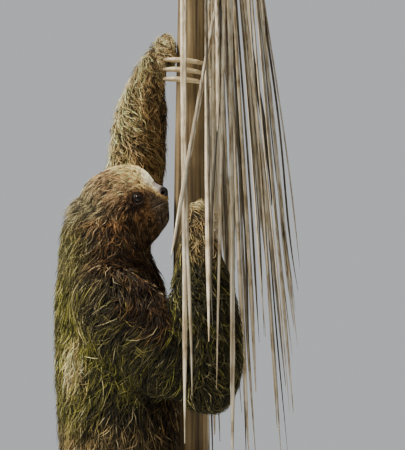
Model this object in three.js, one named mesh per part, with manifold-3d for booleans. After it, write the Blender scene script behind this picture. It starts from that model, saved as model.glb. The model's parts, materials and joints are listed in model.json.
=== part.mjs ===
// A brown-throated three-toed sloth, life size, hugging a cut length of dry palm stalk on a plain
// display stand. It climbs upright: the left arm reaches up past the head, the right arm is bent in
// front of the stalk, and both hind feet grip the stalk below.
// Millimetres, +Z up. The origin is the middle of the base's underside, the sloth faces +X with its
// right side towards -Y. Every flesh piece reaches out to the tips of the coat.
import * as THREE from 'three';
import { mergeVertices } from 'three/addons/utils/BufferGeometryUtils.js';
import Module from 'manifold-3d';

const wasm = await Module();
wasm.setup();

// ---- driving dimensions -------------------------------------------------------------------------

const CLEARANCE = 0.35; // gap kept between neighbouring pieces
const SMOOTHNESS = 0.14; // edges that stray less than this from a smooth face are dropped

const BASE = { length: 340, width: 236, thick: 22, corner: 48, bevel: 3 };
const ROD_RADIUS = 6;
const COLLAR = { foot: 17, top: 15, height: 9 };
const STALK_ROD_DEPTH = 26; // how far the rod runs up into the stalk
const RUMP_ROD_TOP = 126; // the second rod ends inside the rump

const STALK = { x: 51, radius: 22, bottom: 82, top: 842, lean: 5, taper: 0.82 };
const LEAF_CROWN = { radius: 15, height: 14 }; // the stump that the leaflets grow from
const LEAFLET = { half: 5.6, thin: 1.7 };
// Leaflets that hang in front of the forearm: x where they turn down and x, y and z of their tips.
const FRONT_LEAFLETS = [
  { turn: 38, tip: [42, -124, 306] },
  { turn: 88, tip: [26, -119, 514] },
  { turn: 66, tip: [67, -127, 418] },
  { turn: 74, tip: [72, -122, 512] },
  { turn: 86, tip: [77, -128, 366] },
  { turn: 92, tip: [94, -124, 262] },
];
const FRONT_TURN = -88; // y where they turn down
// The other leaflets hang in a fan, from behind the stalk to the far right of the base. Those further
// to the right than clear pass the forearm, so they may hang in front too.
const FAN = { count: 12, near: 66, far: 172, clear: 116, behind: 46, side: 100, low: 230, high: 520 };
const GOLDEN = 0.618; // spreads the fan without a pattern

const FACING = THREE.MathUtils.degToRad(10); // the trunk is turned this far about its length
const HEAD_YAW = THREE.MathUtils.degToRad(10); // the face is turned this far towards -Y
const HEAD_PITCH = THREE.MathUtils.degToRad(25); // and the nose is raised this far
const SKULL = { x: -36.5, y: -4, z: 575 }; // middle of the braincase
const EYE = { forward: 26.4, up: -11, out: 25, radius: 6.2 };
const NOSE = { forward: 52.5, up: -13, half: { x: 7, y: 6, z: 8 } };
const MOUTH = { front: 70, corner: 25, up: -24, drop: 2, jawBack: 2, jawDepth: 60 };

const CLAW = { root: 5.2, width: 3.6, tip: 1.2, spacing: 11, lift: 9 };
const NECK_HEIGHT = 512; // where the trunk ends and the neck begins

// ---- small tools --------------------------------------------------------------------------------

const at = (x, y, z) => new THREE.Vector3(x, y, z);
const SIDEWAYS = at(0, 1, 0);
const TRUNK_SIDE = at(-Math.sin(FACING), Math.cos(FACING), 0);

function solidOf(geometry) {
  const bare = geometry.clone();
  bare.deleteAttribute('normal');
  bare.deleteAttribute('uv');
  const merged = mergeVertices(bare, 1e-4);
  return new wasm.Manifold(new wasm.Mesh({
    numProp: 3,
    vertProperties: new Float32Array(merged.attributes.position.array),
    triVerts: new Uint32Array(merged.index.array),
  }));
}

function geometryOf(solid) {
  const mesh = solid.getMesh();
  const geometry = new THREE.BufferGeometry();
  geometry.setAttribute('position', new THREE.BufferAttribute(mesh.vertProperties, 3));
  geometry.setIndex(new THREE.BufferAttribute(mesh.triVerts, 1));
  geometry.computeVertexNormals();
  return geometry;
}

// What lies above (or, with up = -1, below) a level plane through the given height.
const levelCut = (solid, height, up = 1) => solid.trimByPlane([0, 0, up], up * height + CLEARANCE / 2);

// A closed, round-ended form along a curve through the points of path. Each size is a pair of half
// sizes, across the side direction and at right angles to it, and the sizes are spread evenly from
// the first point to the last. A higher power makes the ends blunter.
function along({ path, sizes, side = SIDEWAYS, power = 3, around = 13, rings = 11 }, swell = 0) {
  const curve = new THREE.CatmullRomCurve3(path);
  const profile = new THREE.CatmullRomCurve3(sizes.map(([across, deep]) => at(across, deep, 0)));
  const geometry = new THREE.SphereGeometry(1, around, rings);
  const places = geometry.getAttribute('position');
  for (let i = 0; i < places.count; i++) {
    const onSphere = at(0, 0, 0).fromBufferAttribute(places, i);
    const share = THREE.MathUtils.clamp((1 - onSphere.y) / 2, 0, 1);
    const tangent = curve.getTangentAt(share);
    const across = side.clone().addScaledVector(tangent, -side.dot(tangent)).normalize();
    const deep = tangent.clone().cross(across);
    const size = profile.getPoint(share);
    const ringRadius = Math.hypot(onSphere.x, onSphere.z);
    const blunt = (1 - Math.abs(onSphere.y) ** power) ** (1 / power);
    const scale = ringRadius > 1e-6 ? blunt / ringRadius : 0;
    const place = curve.getPointAt(share)
      .addScaledVector(tangent, -onSphere.y * swell)
      .addScaledVector(across, onSphere.x * scale * (size.x + swell))
      .addScaledVector(deep, onSphere.z * scale * (size.y + swell));
    places.setXYZ(i, place.x, place.y, place.z);
  }
  return solidOf(geometry);
}

function ellipsoid(centre, radii, matrix, around = 12, rings = 9, swell = 0) {
  const geometry = new THREE.SphereGeometry(1, around, rings);
  geometry.scale(radii.x + swell, radii.y + swell, radii.z + swell);
  geometry.translate(centre.x, centre.y, centre.z);
  geometry.applyMatrix4(matrix);
  return solidOf(geometry);
}

// ---- head ---------------------------------------------------------------------------------------

// The head has its own axes: x forward to the nose, y up through the crown, z out to its right.
const headForward = at(Math.cos(HEAD_YAW) * Math.cos(HEAD_PITCH),
  -Math.sin(HEAD_YAW) * Math.cos(HEAD_PITCH), Math.sin(HEAD_PITCH));
const headRight = at(-Math.sin(HEAD_YAW), -Math.cos(HEAD_YAW), 0);
const headUp = headRight.clone().cross(headForward);
const HEAD_FRAME = new THREE.Matrix4().makeBasis(headForward, headUp, headRight)
  .setPosition(SKULL.x, SKULL.y, SKULL.z);

// The rounded masses of the head, each with its middle and its half sizes in the head's axes.
const HEAD_MASSES = [
  { name: 'braincase', middle: at(-3, -4, 0), half: at(43, 43, 42) },
  { name: 'brow', middle: at(18, 3, 0), half: at(29, 32, 29) },
  { name: 'muzzle', middle: at(36, -15, 0), half: at(22, 15, 15) },
  { name: 'lips', middle: at(41, -26, 0), half: at(12.5, 7, 11) },
  { name: 'chin', middle: at(30.5, -37, 0), half: at(19.5, 16.5, 16) },
  { name: 'right cheek', middle: at(3, -20, 13), half: at(27, 27, 25) },
  { name: 'left cheek', middle: at(3, -20, -13), half: at(27, 27, 25) },
  { name: 'throat', middle: at(10, -40, 0), half: at(24, 24, 28) },
];
const HEAD_BLEND = 7; // how softly the masses run into each other
const HEAD_HEART = at(14, -9, 0); // every point of the head's surface is in sight of this point

function distanceToEllipsoid(point, { middle, half }) {
  const offset = point.clone().sub(middle);
  const unit = offset.clone().divide(half).length();
  const steep = offset.clone().divide(half).divide(half).length();
  return steep > 1e-9 ? unit * (unit - 1) / steep : -Math.min(half.x, half.y, half.z);
}

function distanceToHead(point) {
  let nearest = Infinity;
  for (const mass of HEAD_MASSES) {
    const other = distanceToEllipsoid(point, mass);
    if (nearest === Infinity) {
      nearest = other;
      continue;
    }
    const mix = Math.max(HEAD_BLEND - Math.abs(nearest - other), 0) / HEAD_BLEND;
    nearest = Math.min(nearest, other) - mix * mix * HEAD_BLEND / 4;
  }
  return nearest;
}

// The head is a sphere with its pole at the nose, drawn in or out until it lies on the masses.
function headForm(swell = 0) {
  const geometry = new THREE.SphereGeometry(1, 21, 16);
  geometry.rotateZ(-Math.PI / 2);
  const places = geometry.getAttribute('position');
  for (let i = 0; i < places.count; i++) {
    const direction = at(0, 0, 0).fromBufferAttribute(places, i).normalize();
    let inside = 0;
    let outside = 100;
    for (let step = 0; step < 30; step++) {
      const middle = (inside + outside) / 2;
      const probe = HEAD_HEART.clone().addScaledVector(direction, middle);
      if (distanceToHead(probe) < swell) inside = middle;
      else outside = middle;
    }
    const place = HEAD_HEART.clone().addScaledVector(direction, outside);
    places.setXYZ(i, place.x, place.y, place.z);
  }
  geometry.applyMatrix4(HEAD_FRAME);
  return solidOf(geometry);
}

// The wedge below the line of the mouth, from the front of the face back to the mouth's corners.
function jawWedge(swell = 0) {
  const outline = new THREE.Shape();
  outline.moveTo(MOUTH.front + swell, MOUTH.up - MOUTH.drop + swell);
  outline.lineTo(MOUTH.corner - swell, MOUTH.up + swell);
  outline.lineTo(MOUTH.jawBack - swell, MOUTH.up - MOUTH.jawDepth);
  outline.lineTo(MOUTH.front + swell, MOUTH.up - MOUTH.jawDepth);
  const width = 120;
  const geometry = new THREE.ExtrudeGeometry(outline, { depth: width, bevelEnabled: false });
  geometry.translate(0, 0, -width / 2);
  geometry.applyMatrix4(HEAD_FRAME);
  return solidOf(geometry);
}

const eyeForm = (out) => (swell) => ellipsoid(at(EYE.forward, EYE.up, out * EYE.out),
  at(EYE.radius, EYE.radius, EYE.radius), HEAD_FRAME, 10, 7, swell);
const noseForm = (swell) => ellipsoid(at(NOSE.forward, NOSE.up, 0), NOSE.half, HEAD_FRAME, 10, 7, swell);

// ---- trunk and limbs ----------------------------------------------------------------------------

// The trunk and the neck are one form, from the rump to the nape, cut at NECK_HEIGHT.
const TORSO = {
  path: [at(-30, 0, 122), at(-30, 0, 190), at(-30, 0, 270), at(-35, 0, 345), at(-42, 0, 425), at(-49, 0, 490),
    at(-50, -2, 545), at(-42, -4, 600)],
  sizes: [[66, 56], [79, 69], [84, 73], [84, 73], [79, 70], [71, 64], [63, 57], [47, 46]],
  side: TRUNK_SIDE,
  power: 3.4,
  around: 19,
  rings: 17,
};
const TAIL = {
  path: [at(-64, -6, 180), at(-86, -8, 150), at(-97, -9, 126)],
  sizes: [[24, 24], [20, 20], [14, 13]],
  around: 12,
  rings: 8,
};

// The left arm reaches up in one sweep and is cut at the elbow.
const LEFT_ELBOW_HEIGHT = 652;
const LEFT_ARM = {
  path: [at(-42, 40, 470), at(-30, 54, 545), at(-17, 64, 610), at(-12, 62, 660), at(-6, 52, 700), at(3, 36, 731),
    at(12, 20, 761)],
  sizes: [[36, 44], [36, 38], [34, 34], [34, 35], [31, 32], [24, 24], [16, 16]],
  power: 3.4,
  around: 14,
  rings: 16,
};

// The other limb pieces, named by the side of the animal they are on. Right is the side towards -Y.
const LIMBS = {
  right_upper_arm: {
    path: [at(-66, -44, 492), at(-38, -62, 454), at(14, -78, 402), at(60, -80, 366)],
    sizes: [[42, 48], [43, 52], [40, 49], [36, 44]],
  },
  right_forearm: {
    path: [at(60, -80, 334), at(66, -79, 388), at(62, -73, 455), at(56, -62, 520), at(53, -54, 562)],
    sizes: [[34, 40], [38, 44], [36, 41], [29, 32], [18, 18]],
    power: 3.4,
    rings: 12,
  },
  right_hand: {
    path: [at(52, -56, 550), at(53, -47, 564), at(60, -37, 562), at(66, -31, 548)],
    sizes: [[16, 16], [14, 14], [12, 15]],
    around: 11,
    rings: 8,
  },
  left_hand: {
    path: [at(11, 22, 750), at(16, 8, 762), at(20, -6, 748), at(20, -14, 722)],
    sizes: [[14, 14], [14, 13], [12, 13], [10, 15]],
    around: 11,
    rings: 8,
  },
  right_thigh: {
    path: [at(-34, -44, 196), at(-12, -62, 232), at(18, -70, 264)],
    sizes: [[44, 48], [43, 47], [35, 37]],
  },
  right_shin: {
    path: [at(20, -70, 272), at(26, -66, 222), at(32, -50, 172)],
    sizes: [[32, 33], [30, 32], [19, 22]],
  },
  right_foot: {
    path: [at(30, -51, 178), at(40, -46, 160), at(56, -38, 158), at(68, -32, 159)],
    sizes: [[18, 18], [16, 18], [13, 17], [10, 17]],
    around: 11,
    rings: 8,
  },
  left_thigh: {
    path: [at(-34, 44, 196), at(-12, 62, 226), at(14, 72, 256)],
    sizes: [[44, 48], [43, 47], [35, 37]],
  },
  left_shin: {
    path: [at(16, 72, 264), at(24, 68, 232), at(32, 52, 208)],
    sizes: [[32, 33], [29, 32], [20, 23]],
  },
  left_foot: {
    path: [at(30, 53, 216), at(40, 47, 204), at(56, 39, 203), at(68, 33, 205)],
    sizes: [[18, 18], [16, 18], [13, 17], [10, 17]],
    around: 11,
    rings: 8,
  },
};

// ---- claws --------------------------------------------------------------------------------------

// Three long claws side by side, each curling round the stalk. The angles are seen from above, from
// +X towards +Y, and height is the middle claw's height where it leaves the toe.
const GRIPS = {
  right_hand: { from: -62, to: 78, height: 548, drop: 12 },
  left_hand: { from: 208, to: 342, height: 724, drop: 10 },
  right_foot: { from: -62, to: 62, height: 159, drop: 6 },
  left_foot: { from: 62, to: -62, height: 205, drop: 6 },
};
const CLAW_NAMES = ['upper', 'middle', 'lower'];

function stalkMiddle(height) {
  const share = (height - STALK.bottom) / (STALK.top - STALK.bottom);
  return at(STALK.x - STALK.lean * Math.sin(Math.PI * share), 0, height);
}

function clawPath({ from, to, height, drop }, place) {
  const points = [];
  const steps = 5;
  for (let i = 0; i <= steps; i++) {
    const share = i / steps;
    const angle = THREE.MathUtils.degToRad(THREE.MathUtils.lerp(from, to, share));
    const arch = CLAW.lift * (1 - share) ** 1.5 + CLAW.root * (1 - share) + CLAW.tip + CLEARANCE;
    const level = height + (1 - place) * CLAW.spacing - drop * share * share;
    const reach = STALK.radius + arch;
    points.push(stalkMiddle(level).add(at(reach * Math.cos(angle), reach * Math.sin(angle), 0)));
  }
  return points;
}

const clawForm = (grip, place) => (swell) => along({
  path: clawPath(grip, place),
  sizes: [[CLAW.width, CLAW.root], [CLAW.width, CLAW.root * 0.9], [CLAW.width * 0.75, CLAW.root * 0.62],
    [CLAW.tip, CLAW.tip]],
  side: at(0, 0, 1),
  around: 5,
  rings: 9,
}, swell);

// ---- perch and stand ----------------------------------------------------------------------------

// A palm stalk is flat on the side that faced the crown and keeled on the other.
function stalkForm(swell = 0) {
  const section = new THREE.Shape();
  const sides = 14;
  for (let i = 0; i < sides; i++) {
    const angle = i / sides * 2 * Math.PI;
    const keel = 1 - 0.07 * (1 + Math.cos(3 * angle));
    const radius = (STALK.radius + swell) * keel;
    if (i === 0) section.moveTo(radius * Math.cos(angle), radius * Math.sin(angle));
    else section.lineTo(radius * Math.cos(angle), radius * Math.sin(angle));
  }
  const heights = [0, 0.25, 0.5, 0.75, 1].map((share) => THREE.MathUtils.lerp(STALK.bottom, STALK.top, share));
  const geometry = new THREE.ExtrudeGeometry(section, {
    extrudePath: new THREE.CatmullRomCurve3(heights.map(stalkMiddle)),
    steps: 7,
    bevelEnabled: false,
  });
  const places = geometry.getAttribute('position');
  for (let i = 0; i < places.count; i++) {
    const share = (places.getZ(i) - STALK.bottom) / (STALK.top - STALK.bottom);
    const middle = stalkMiddle(places.getZ(i));
    const scale = THREE.MathUtils.lerp(1, STALK.taper, share);
    places.setX(i, middle.x + (places.getX(i) - middle.x) * scale);
    places.setY(i, places.getY(i) * scale);
  }
  return solidOf(geometry);
}

// Up from the crown of the stalk to where it turns, then down to its tip, forward first.
function leafletPath(turn, tip, level) {
  const out = at(turn.x - STALK.x, turn.y, 0).setLength(0.6 * LEAF_CROWN.radius);
  const points = [at(STALK.x, 0, STALK.top + level * LEAF_CROWN.height).add(out)];
  for (const share of [0, 0.2, 0.45, 0.72, 1]) {
    const forward = 1 - (1 - share) ** 1.7;
    points.push(at(
      THREE.MathUtils.lerp(turn.x, tip.x, share),
      THREE.MathUtils.lerp(turn.y, tip.y, forward),
      THREE.MathUtils.lerp(turn.z, tip.z, share),
    ));
  }
  return points;
}

function leafletPaths() {
  const turnHeight = STALK.top + LEAF_CROWN.height;
  const levelOf = (i) => 0.2 + 0.6 * ((i * GOLDEN) % 1);
  const paths = FRONT_LEAFLETS.map(({ turn, tip }, i) => (
    leafletPath(at(turn, FRONT_TURN, turnHeight), at(...tip), levelOf(i))
  ));
  for (let i = 0; i < FAN.count; i++) {
    const x = THREE.MathUtils.lerp(FAN.near, FAN.far, i / (FAN.count - 1));
    const nearest = x < FAN.clear ? FAN.behind : -FAN.side;
    const y = THREE.MathUtils.lerp(nearest, FAN.side, (i * GOLDEN) % 1);
    const z = THREE.MathUtils.lerp(FAN.low, FAN.high, (2 * i * GOLDEN) % 1);
    const turn = at(THREE.MathUtils.lerp(STALK.x, x, 0.6), 0.75 * y, turnHeight);
    paths.push(leafletPath(turn, at(x, y, z), levelOf(i)));
  }
  return paths;
}

function leafletsForm(swell = 0) {
  const crown = upright(LEAF_CROWN.radius, STALK.top, STALK.top + LEAF_CROWN.height, STALK.x)(swell);
  const sizes = [0.25, 0.9, 1, 0.85, 0.7].map((share) => [LEAFLET.half * share, LEAFLET.thin]);
  const leaflets = leafletPaths().map((path) => {
    const reach = path.at(-1).clone().sub(path[0]).setZ(0);
    const side = at(-reach.y, reach.x, 0).lerp(at(reach.length(), 0, 0), 0.5).normalize();
    return along({ path, sizes, side, around: 3, rings: 6 }, swell);
  });
  return wasm.Manifold.union([crown, ...leaflets]);
}

function baseForm() {
  const { length, width, thick, corner, bevel } = BASE;
  const [right, back] = [length / 2 - bevel, width / 2 - bevel];
  const outline = new THREE.Shape();
  outline.moveTo(-right + corner, -back);
  outline.lineTo(right - corner, -back);
  outline.absarc(right - corner, -back + corner, corner, -Math.PI / 2, 0);
  outline.absarc(right - corner, back - corner, corner, 0, Math.PI / 2);
  outline.absarc(-right + corner, back - corner, corner, Math.PI / 2, Math.PI);
  outline.absarc(-right + corner, -back + corner, corner, Math.PI, 1.5 * Math.PI);
  const geometry = new THREE.ExtrudeGeometry(outline, {
    depth: thick - 2 * bevel,
    bevelThickness: bevel,
    bevelSize: bevel,
    bevelSegments: 1,
    curveSegments: 3,
  });
  geometry.translate(0, 0, bevel);
  return solidOf(geometry);
}

const upright = (radius, bottom, top, x) => (swell) => {
  const geometry = new THREE.CylinderGeometry(radius + swell, radius + swell, top - bottom + 2 * swell, 16);
  geometry.rotateX(Math.PI / 2);
  geometry.translate(x, 0, (bottom + top) / 2);
  return solidOf(geometry);
};
const collar = (x) => (swell) => {
  const geometry = new THREE.CylinderGeometry(COLLAR.top + swell, COLLAR.foot + swell, COLLAR.height, 12);
  geometry.rotateX(Math.PI / 2);
  geometry.translate(x, 0, BASE.thick + CLEARANCE + COLLAR.height / 2);
  return solidOf(geometry);
};

// ---- the pieces, in the order in which they keep their shape --------------------------------------

const coat = (color) => new THREE.MeshStandardMaterial({ color, roughness: 0.95, metalness: 0 });
const MATERIALS = {
  back_coat: coat(0x6b6238),
  arm_coat: coat(0x94825c),
  head_coat: coat(0x8a7452),
  throat_coat: coat(0x4a3724),
  hand_coat: coat(0x9a8258),
  nose_skin: new THREE.MeshStandardMaterial({ color: 0x3a3230, roughness: 0.45, metalness: 0 }),
  eye: new THREE.MeshStandardMaterial({ color: 0x1c120c, roughness: 0.08, metalness: 0 }),
  claw: new THREE.MeshStandardMaterial({ color: 0x9c8660, roughness: 0.4, metalness: 0 }),
  stalk: new THREE.MeshStandardMaterial({ color: 0xa8946e, roughness: 0.85, metalness: 0 }),
  base_wood: new THREE.MeshStandardMaterial({ color: 0x4a2e1c, roughness: 0.5, metalness: 0 }),
  leaflet: new THREE.MeshStandardMaterial({ color: 0xb8a888, roughness: 0.8, metalness: 0 }),
  rod_steel: new THREE.MeshStandardMaterial({ color: 0x8c8c8c, roughness: 0.35, metalness: 1 }),
};

const stalkFoot = stalkMiddle(STALK.bottom).x;
const rumpRodX = TORSO.path[0].x;
const pieces = [
  { name: 'stand_base', form: baseForm, material: MATERIALS.base_wood },
  {
    name: 'stand_stalk_rod',
    form: upright(ROD_RADIUS, BASE.thick + CLEARANCE, STALK.bottom + STALK_ROD_DEPTH, stalkFoot),
    material: MATERIALS.rod_steel,
  },
  {
    name: 'stand_body_rod',
    form: upright(ROD_RADIUS, BASE.thick + CLEARANCE, RUMP_ROD_TOP, rumpRodX),
    material: MATERIALS.rod_steel,
  },
  { name: 'stand_stalk_collar', form: collar(stalkFoot), material: MATERIALS.rod_steel },
  { name: 'stand_body_collar', form: collar(rumpRodX), material: MATERIALS.rod_steel },
  { name: 'perch_stalk', form: stalkForm, material: MATERIALS.stalk },
];
for (const [limb, grip] of Object.entries(GRIPS)) {
  CLAW_NAMES.forEach((place, i) => {
    pieces.push({ name: `${limb}_claw_${place}`, form: clawForm(grip, i), material: MATERIALS.claw });
  });
}
pieces.push(
  { name: 'eye_right', form: eyeForm(1), material: MATERIALS.eye },
  { name: 'eye_left', form: eyeForm(-1), material: MATERIALS.eye },
  { name: 'nose', form: noseForm, material: MATERIALS.nose_skin },
  {
    name: 'lower_jaw',
    form: () => headForm().intersect(jawWedge(-CLEARANCE)),
    keepsClear: false,
    material: MATERIALS.throat_coat,
  },
  {
    name: 'head',
    form: (swell) => (swell ? headForm(swell) : headForm().subtract(jawWedge())),
    material: MATERIALS.head_coat,
  },
  {
    name: 'trunk',
    form: () => levelCut(along(TORSO), NECK_HEIGHT, -1),
    keepsClear: false,
    material: MATERIALS.back_coat,
  },
  {
    name: 'neck',
    form: (swell) => (swell ? along(TORSO, swell) : levelCut(along(TORSO), NECK_HEIGHT)),
    material: MATERIALS.throat_coat,
  },
  { name: 'tail', form: (swell) => along(TAIL, swell), material: MATERIALS.back_coat },
  {
    name: 'left_upper_arm',
    form: () => levelCut(along(LEFT_ARM), LEFT_ELBOW_HEIGHT, -1),
    keepsClear: false,
    material: MATERIALS.arm_coat,
  },
  {
    name: 'left_forearm',
    form: (swell) => (swell ? along(LEFT_ARM, swell) : levelCut(along(LEFT_ARM), LEFT_ELBOW_HEIGHT)),
    material: MATERIALS.arm_coat,
  },
);
for (const [name, limb] of Object.entries(LIMBS)) {
  const material = /hand|foot/.test(name) ? MATERIALS.hand_coat : MATERIALS.back_coat;
  pieces.push({ name, form: (swell) => along(limb, swell), material });
}

pieces.push({ name: 'perch_leaflets', form: leafletsForm, material: MATERIALS.leaflet });

// ---- fitting ------------------------------------------------------------------------------------

function boxesMeet(one, other) {
  const [a, b] = [one.boundingBox(), other.boundingBox()];
  return [0, 1, 2].every((axis) => a.min[axis] < b.max[axis] && b.min[axis] < a.max[axis]);
}

const largestOf = (solid) => solid.decompose().reduce((a, b) => (a.volume() > b.volume() ? a : b));

const model = new THREE.Group();
const sloth = new THREE.Group();
const perch = new THREE.Group();
const stand = new THREE.Group();
model.add(sloth, perch, stand);

const groupOf = (name) => {
  if (name.startsWith('stand_')) return stand;
  return name.startsWith('perch_') ? perch : sloth;
};
const placed = [];
for (const { name, form, material, keepsClear = true } of pieces) {
  let solid = form(0);
  for (const earlier of placed) {
    if (boxesMeet(solid, earlier)) solid = solid.subtract(earlier);
  }
  const mesh = new THREE.Mesh(geometryOf(largestOf(solid).simplify(SMOOTHNESS)), material);
  mesh.name = name;
  groupOf(name).add(mesh);
  if (keepsClear) placed.push(form(CLEARANCE));
}

export default model;
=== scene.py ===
"""Looks of a life-size three-toed sloth that climbs a dry palm stalk on a display stand.

One skin stands for the solids of flesh and lies inside them by the coat's depth. The coat is made of
thin closed tufts that are rooted on that skin. Everything is in metres, in the frame of the solids.
"""

import json
import math
from typing import NamedTuple

import bmesh
import bpy
import numpy as np
from bpy.props import FloatProperty, FloatVectorProperty, IntProperty, PointerProperty
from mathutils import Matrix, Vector
from mathutils.bvhtree import BVHTree
from mathutils.kdtree import KDTree


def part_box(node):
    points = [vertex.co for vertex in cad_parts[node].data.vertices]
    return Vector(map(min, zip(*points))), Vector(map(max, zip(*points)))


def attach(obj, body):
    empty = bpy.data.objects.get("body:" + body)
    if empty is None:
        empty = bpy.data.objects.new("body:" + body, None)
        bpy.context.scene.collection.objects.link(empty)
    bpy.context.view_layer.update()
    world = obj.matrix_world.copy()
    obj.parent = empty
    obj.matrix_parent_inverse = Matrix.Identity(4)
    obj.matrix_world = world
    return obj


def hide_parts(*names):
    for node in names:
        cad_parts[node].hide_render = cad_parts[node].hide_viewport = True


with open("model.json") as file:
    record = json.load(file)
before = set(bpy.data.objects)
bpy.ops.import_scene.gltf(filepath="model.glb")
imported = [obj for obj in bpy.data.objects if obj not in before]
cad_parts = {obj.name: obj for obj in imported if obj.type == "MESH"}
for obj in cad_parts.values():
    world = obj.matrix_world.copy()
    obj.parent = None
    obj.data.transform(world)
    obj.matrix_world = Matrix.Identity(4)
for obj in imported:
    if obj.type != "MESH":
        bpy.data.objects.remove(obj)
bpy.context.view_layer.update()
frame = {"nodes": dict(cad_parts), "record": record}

bl_info = {
    "name": "Three-toed sloth on a palm stalk",
    "version": (1, 0, 0),
    "blender": (4, 5, 0),
    "location": "3D View > Sidebar > Sloth",
    "description": "Builds the skin, coat, eyes, claws, perch and stand of a climbing sloth",
    "category": "Add Mesh",
}

MM = 0.001
UP = np.array([0.0, 0.0, 1.0])
LIMB_ENDS = ("right_hand", "left_hand", "right_foot", "left_foot")
CLAW_PLACES = ("upper", "middle", "lower")
EYES = {"eye_right": 1, "eye_left": -1}
RIGHT_SHOULDER = (-60.0, -62.0, 486.0)

# Solids are swollen by SWELL before they are joined, so that neighbours run into each other.
SWELL = 1.0 * MM
WELD = 1e-6


# ---- how the coat lies ----------------------------------------------------------------------------


class Zone(NamedTuple):
    """Hair length and coat depth in millimetres, tufts per area as a share of the trunk's, how far a
    hair turns along its length in radians, and the way that the hair points."""

    length: float
    depth: float
    crowd: float
    curl: float
    lie: tuple


ZONES = {
    "trunk": Zone(42, 14, 1.0, 0.75, (-0.30, 0.0, -1.0)),
    "neck": Zone(36, 12, 1.1, 0.95, (-0.35, 0.0, -1.0)),
    "head": Zone(15, 6, 1.0, 0.9, (-1.0, 0.0, -0.4)),
    "lower_jaw": Zone(11, 4, 1.0, 0.6, (-0.8, 0.0, -0.7)),
    "tail": Zone(26, 8, 1.2, 0.7, (-0.45, 0.0, -1.0)),
    "right_upper_arm": Zone(36, 12, 1.15, 1.1, (-0.48, 0.0, -0.88)),
    "right_forearm": Zone(27, 10, 1.35, 1.5, (0.50, -0.1, -0.9)),
    "right_hand": Zone(13, 4.5, 2.4, 0.6, (0.55, 0.55, -0.3)),
    "left_upper_arm": Zone(28, 11, 1.3, 1.35, (0.30, -0.10, -0.95)),
    "left_forearm": Zone(23, 9.5, 1.6, 1.4, (0.45, -0.20, -0.9)),
    "left_hand": Zone(13, 4.5, 2.4, 0.6, (0.45, -0.5, -0.6)),
    "right_thigh": Zone(38, 12, 0.8, 0.8, (-0.20, 0.0, -1.0)),
    "right_shin": Zone(28, 8.5, 1.0, 0.9, (0.0, 0.0, -1.0)),
    "right_foot": Zone(12, 4.5, 1.8, 0.6, (0.9, 0.3, -0.1)),
    "left_thigh": Zone(38, 12, 0.8, 0.8, (-0.20, 0.0, -1.0)),
    "left_shin": Zone(28, 8.5, 1.0, 0.9, (0.0, 0.0, -1.0)),
    "left_foot": Zone(12, 4.5, 1.8, 0.6, (0.9, -0.3, -0.1)),
}
FLESH = tuple(ZONES)
CHEST_LIE = (0.42, -0.1, -0.9)

# How far the back faces away from straight behind, in degrees, and the skin that one sample of a
# zone stands for.
BACK_TURN = 10
SAMPLE_AREA = 16 * MM * MM

# Hair lengths in millimetres at which the head's coat passes from face to brow and to the rest.
SHORT_HAIR = 6.0
LONG_HAIR = 10.5


class CoatPiece(NamedTuple):
    """One mesh of tufts: the nodes it covers, its share of the height (in metres), how many tufts it
    has, the lengths that each is drawn in, its width in millimetres, how many clump together
    against the usual number, and how strongly light locks and locks darkened as painted shade differ."""

    nodes: tuple
    heights: tuple
    tufts: int
    joints: int
    width: float
    clump: float = 1.0
    contrast: float = 1.0


RIGHT_ARM = ("right_upper_arm", "right_forearm", "right_hand")
LEFT_ARM = ("left_upper_arm", "left_forearm", "left_hand")
LEGS = ("right_thigh", "right_shin", "right_foot", "left_thigh", "left_shin", "left_foot")
FACE = "coat_face"
BROW = "coat_brow"
COAT_PIECES = {
    FACE: CoatPiece(("head", "lower_jaw"), (0, 1), 22000, 1, 0.6, 4.5, 0.6),
    BROW: CoatPiece(("head", "lower_jaw"), (0, 1), 12500, 2, 0.8, 6),
    "coat_head": CoatPiece(("head", "lower_jaw"), (0, 1), 9500, 3, 1.0, 3),
    "coat_neck": CoatPiece(("neck",), (0, 1), 10800, 3, 1.1, 1.5),
    "coat_shoulders": CoatPiece(("trunk",), (0.395, 1), 11500, 3, 1.3),
    "coat_flanks": CoatPiece(("trunk",), (0.265, 0.395), 11500, 3, 1.3),
    "coat_rump": CoatPiece(("trunk", "tail"), (0, 0.265), 13000, 2, 1.5),
    "coat_right_arm": CoatPiece(RIGHT_ARM, (0, 1), 12000, 3, 1.2),
    "coat_left_arm": CoatPiece(LEFT_ARM, (0, 1), 11000, 3, 1.1),
    "coat_legs": CoatPiece(LEGS, (0, 1), 9500, 2, 1.4),
}


# ---- colours --------------------------------------------------------------------------------------


def linear(red, green, blue):
    """A screen colour, 0 to 255, as the linear values that a shader takes."""
    screen = np.array([red, green, blue]) / 255
    return tuple(np.where(screen <= 0.04045, screen / 12.92, ((screen + 0.055) / 1.055) ** 2.4))


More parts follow.
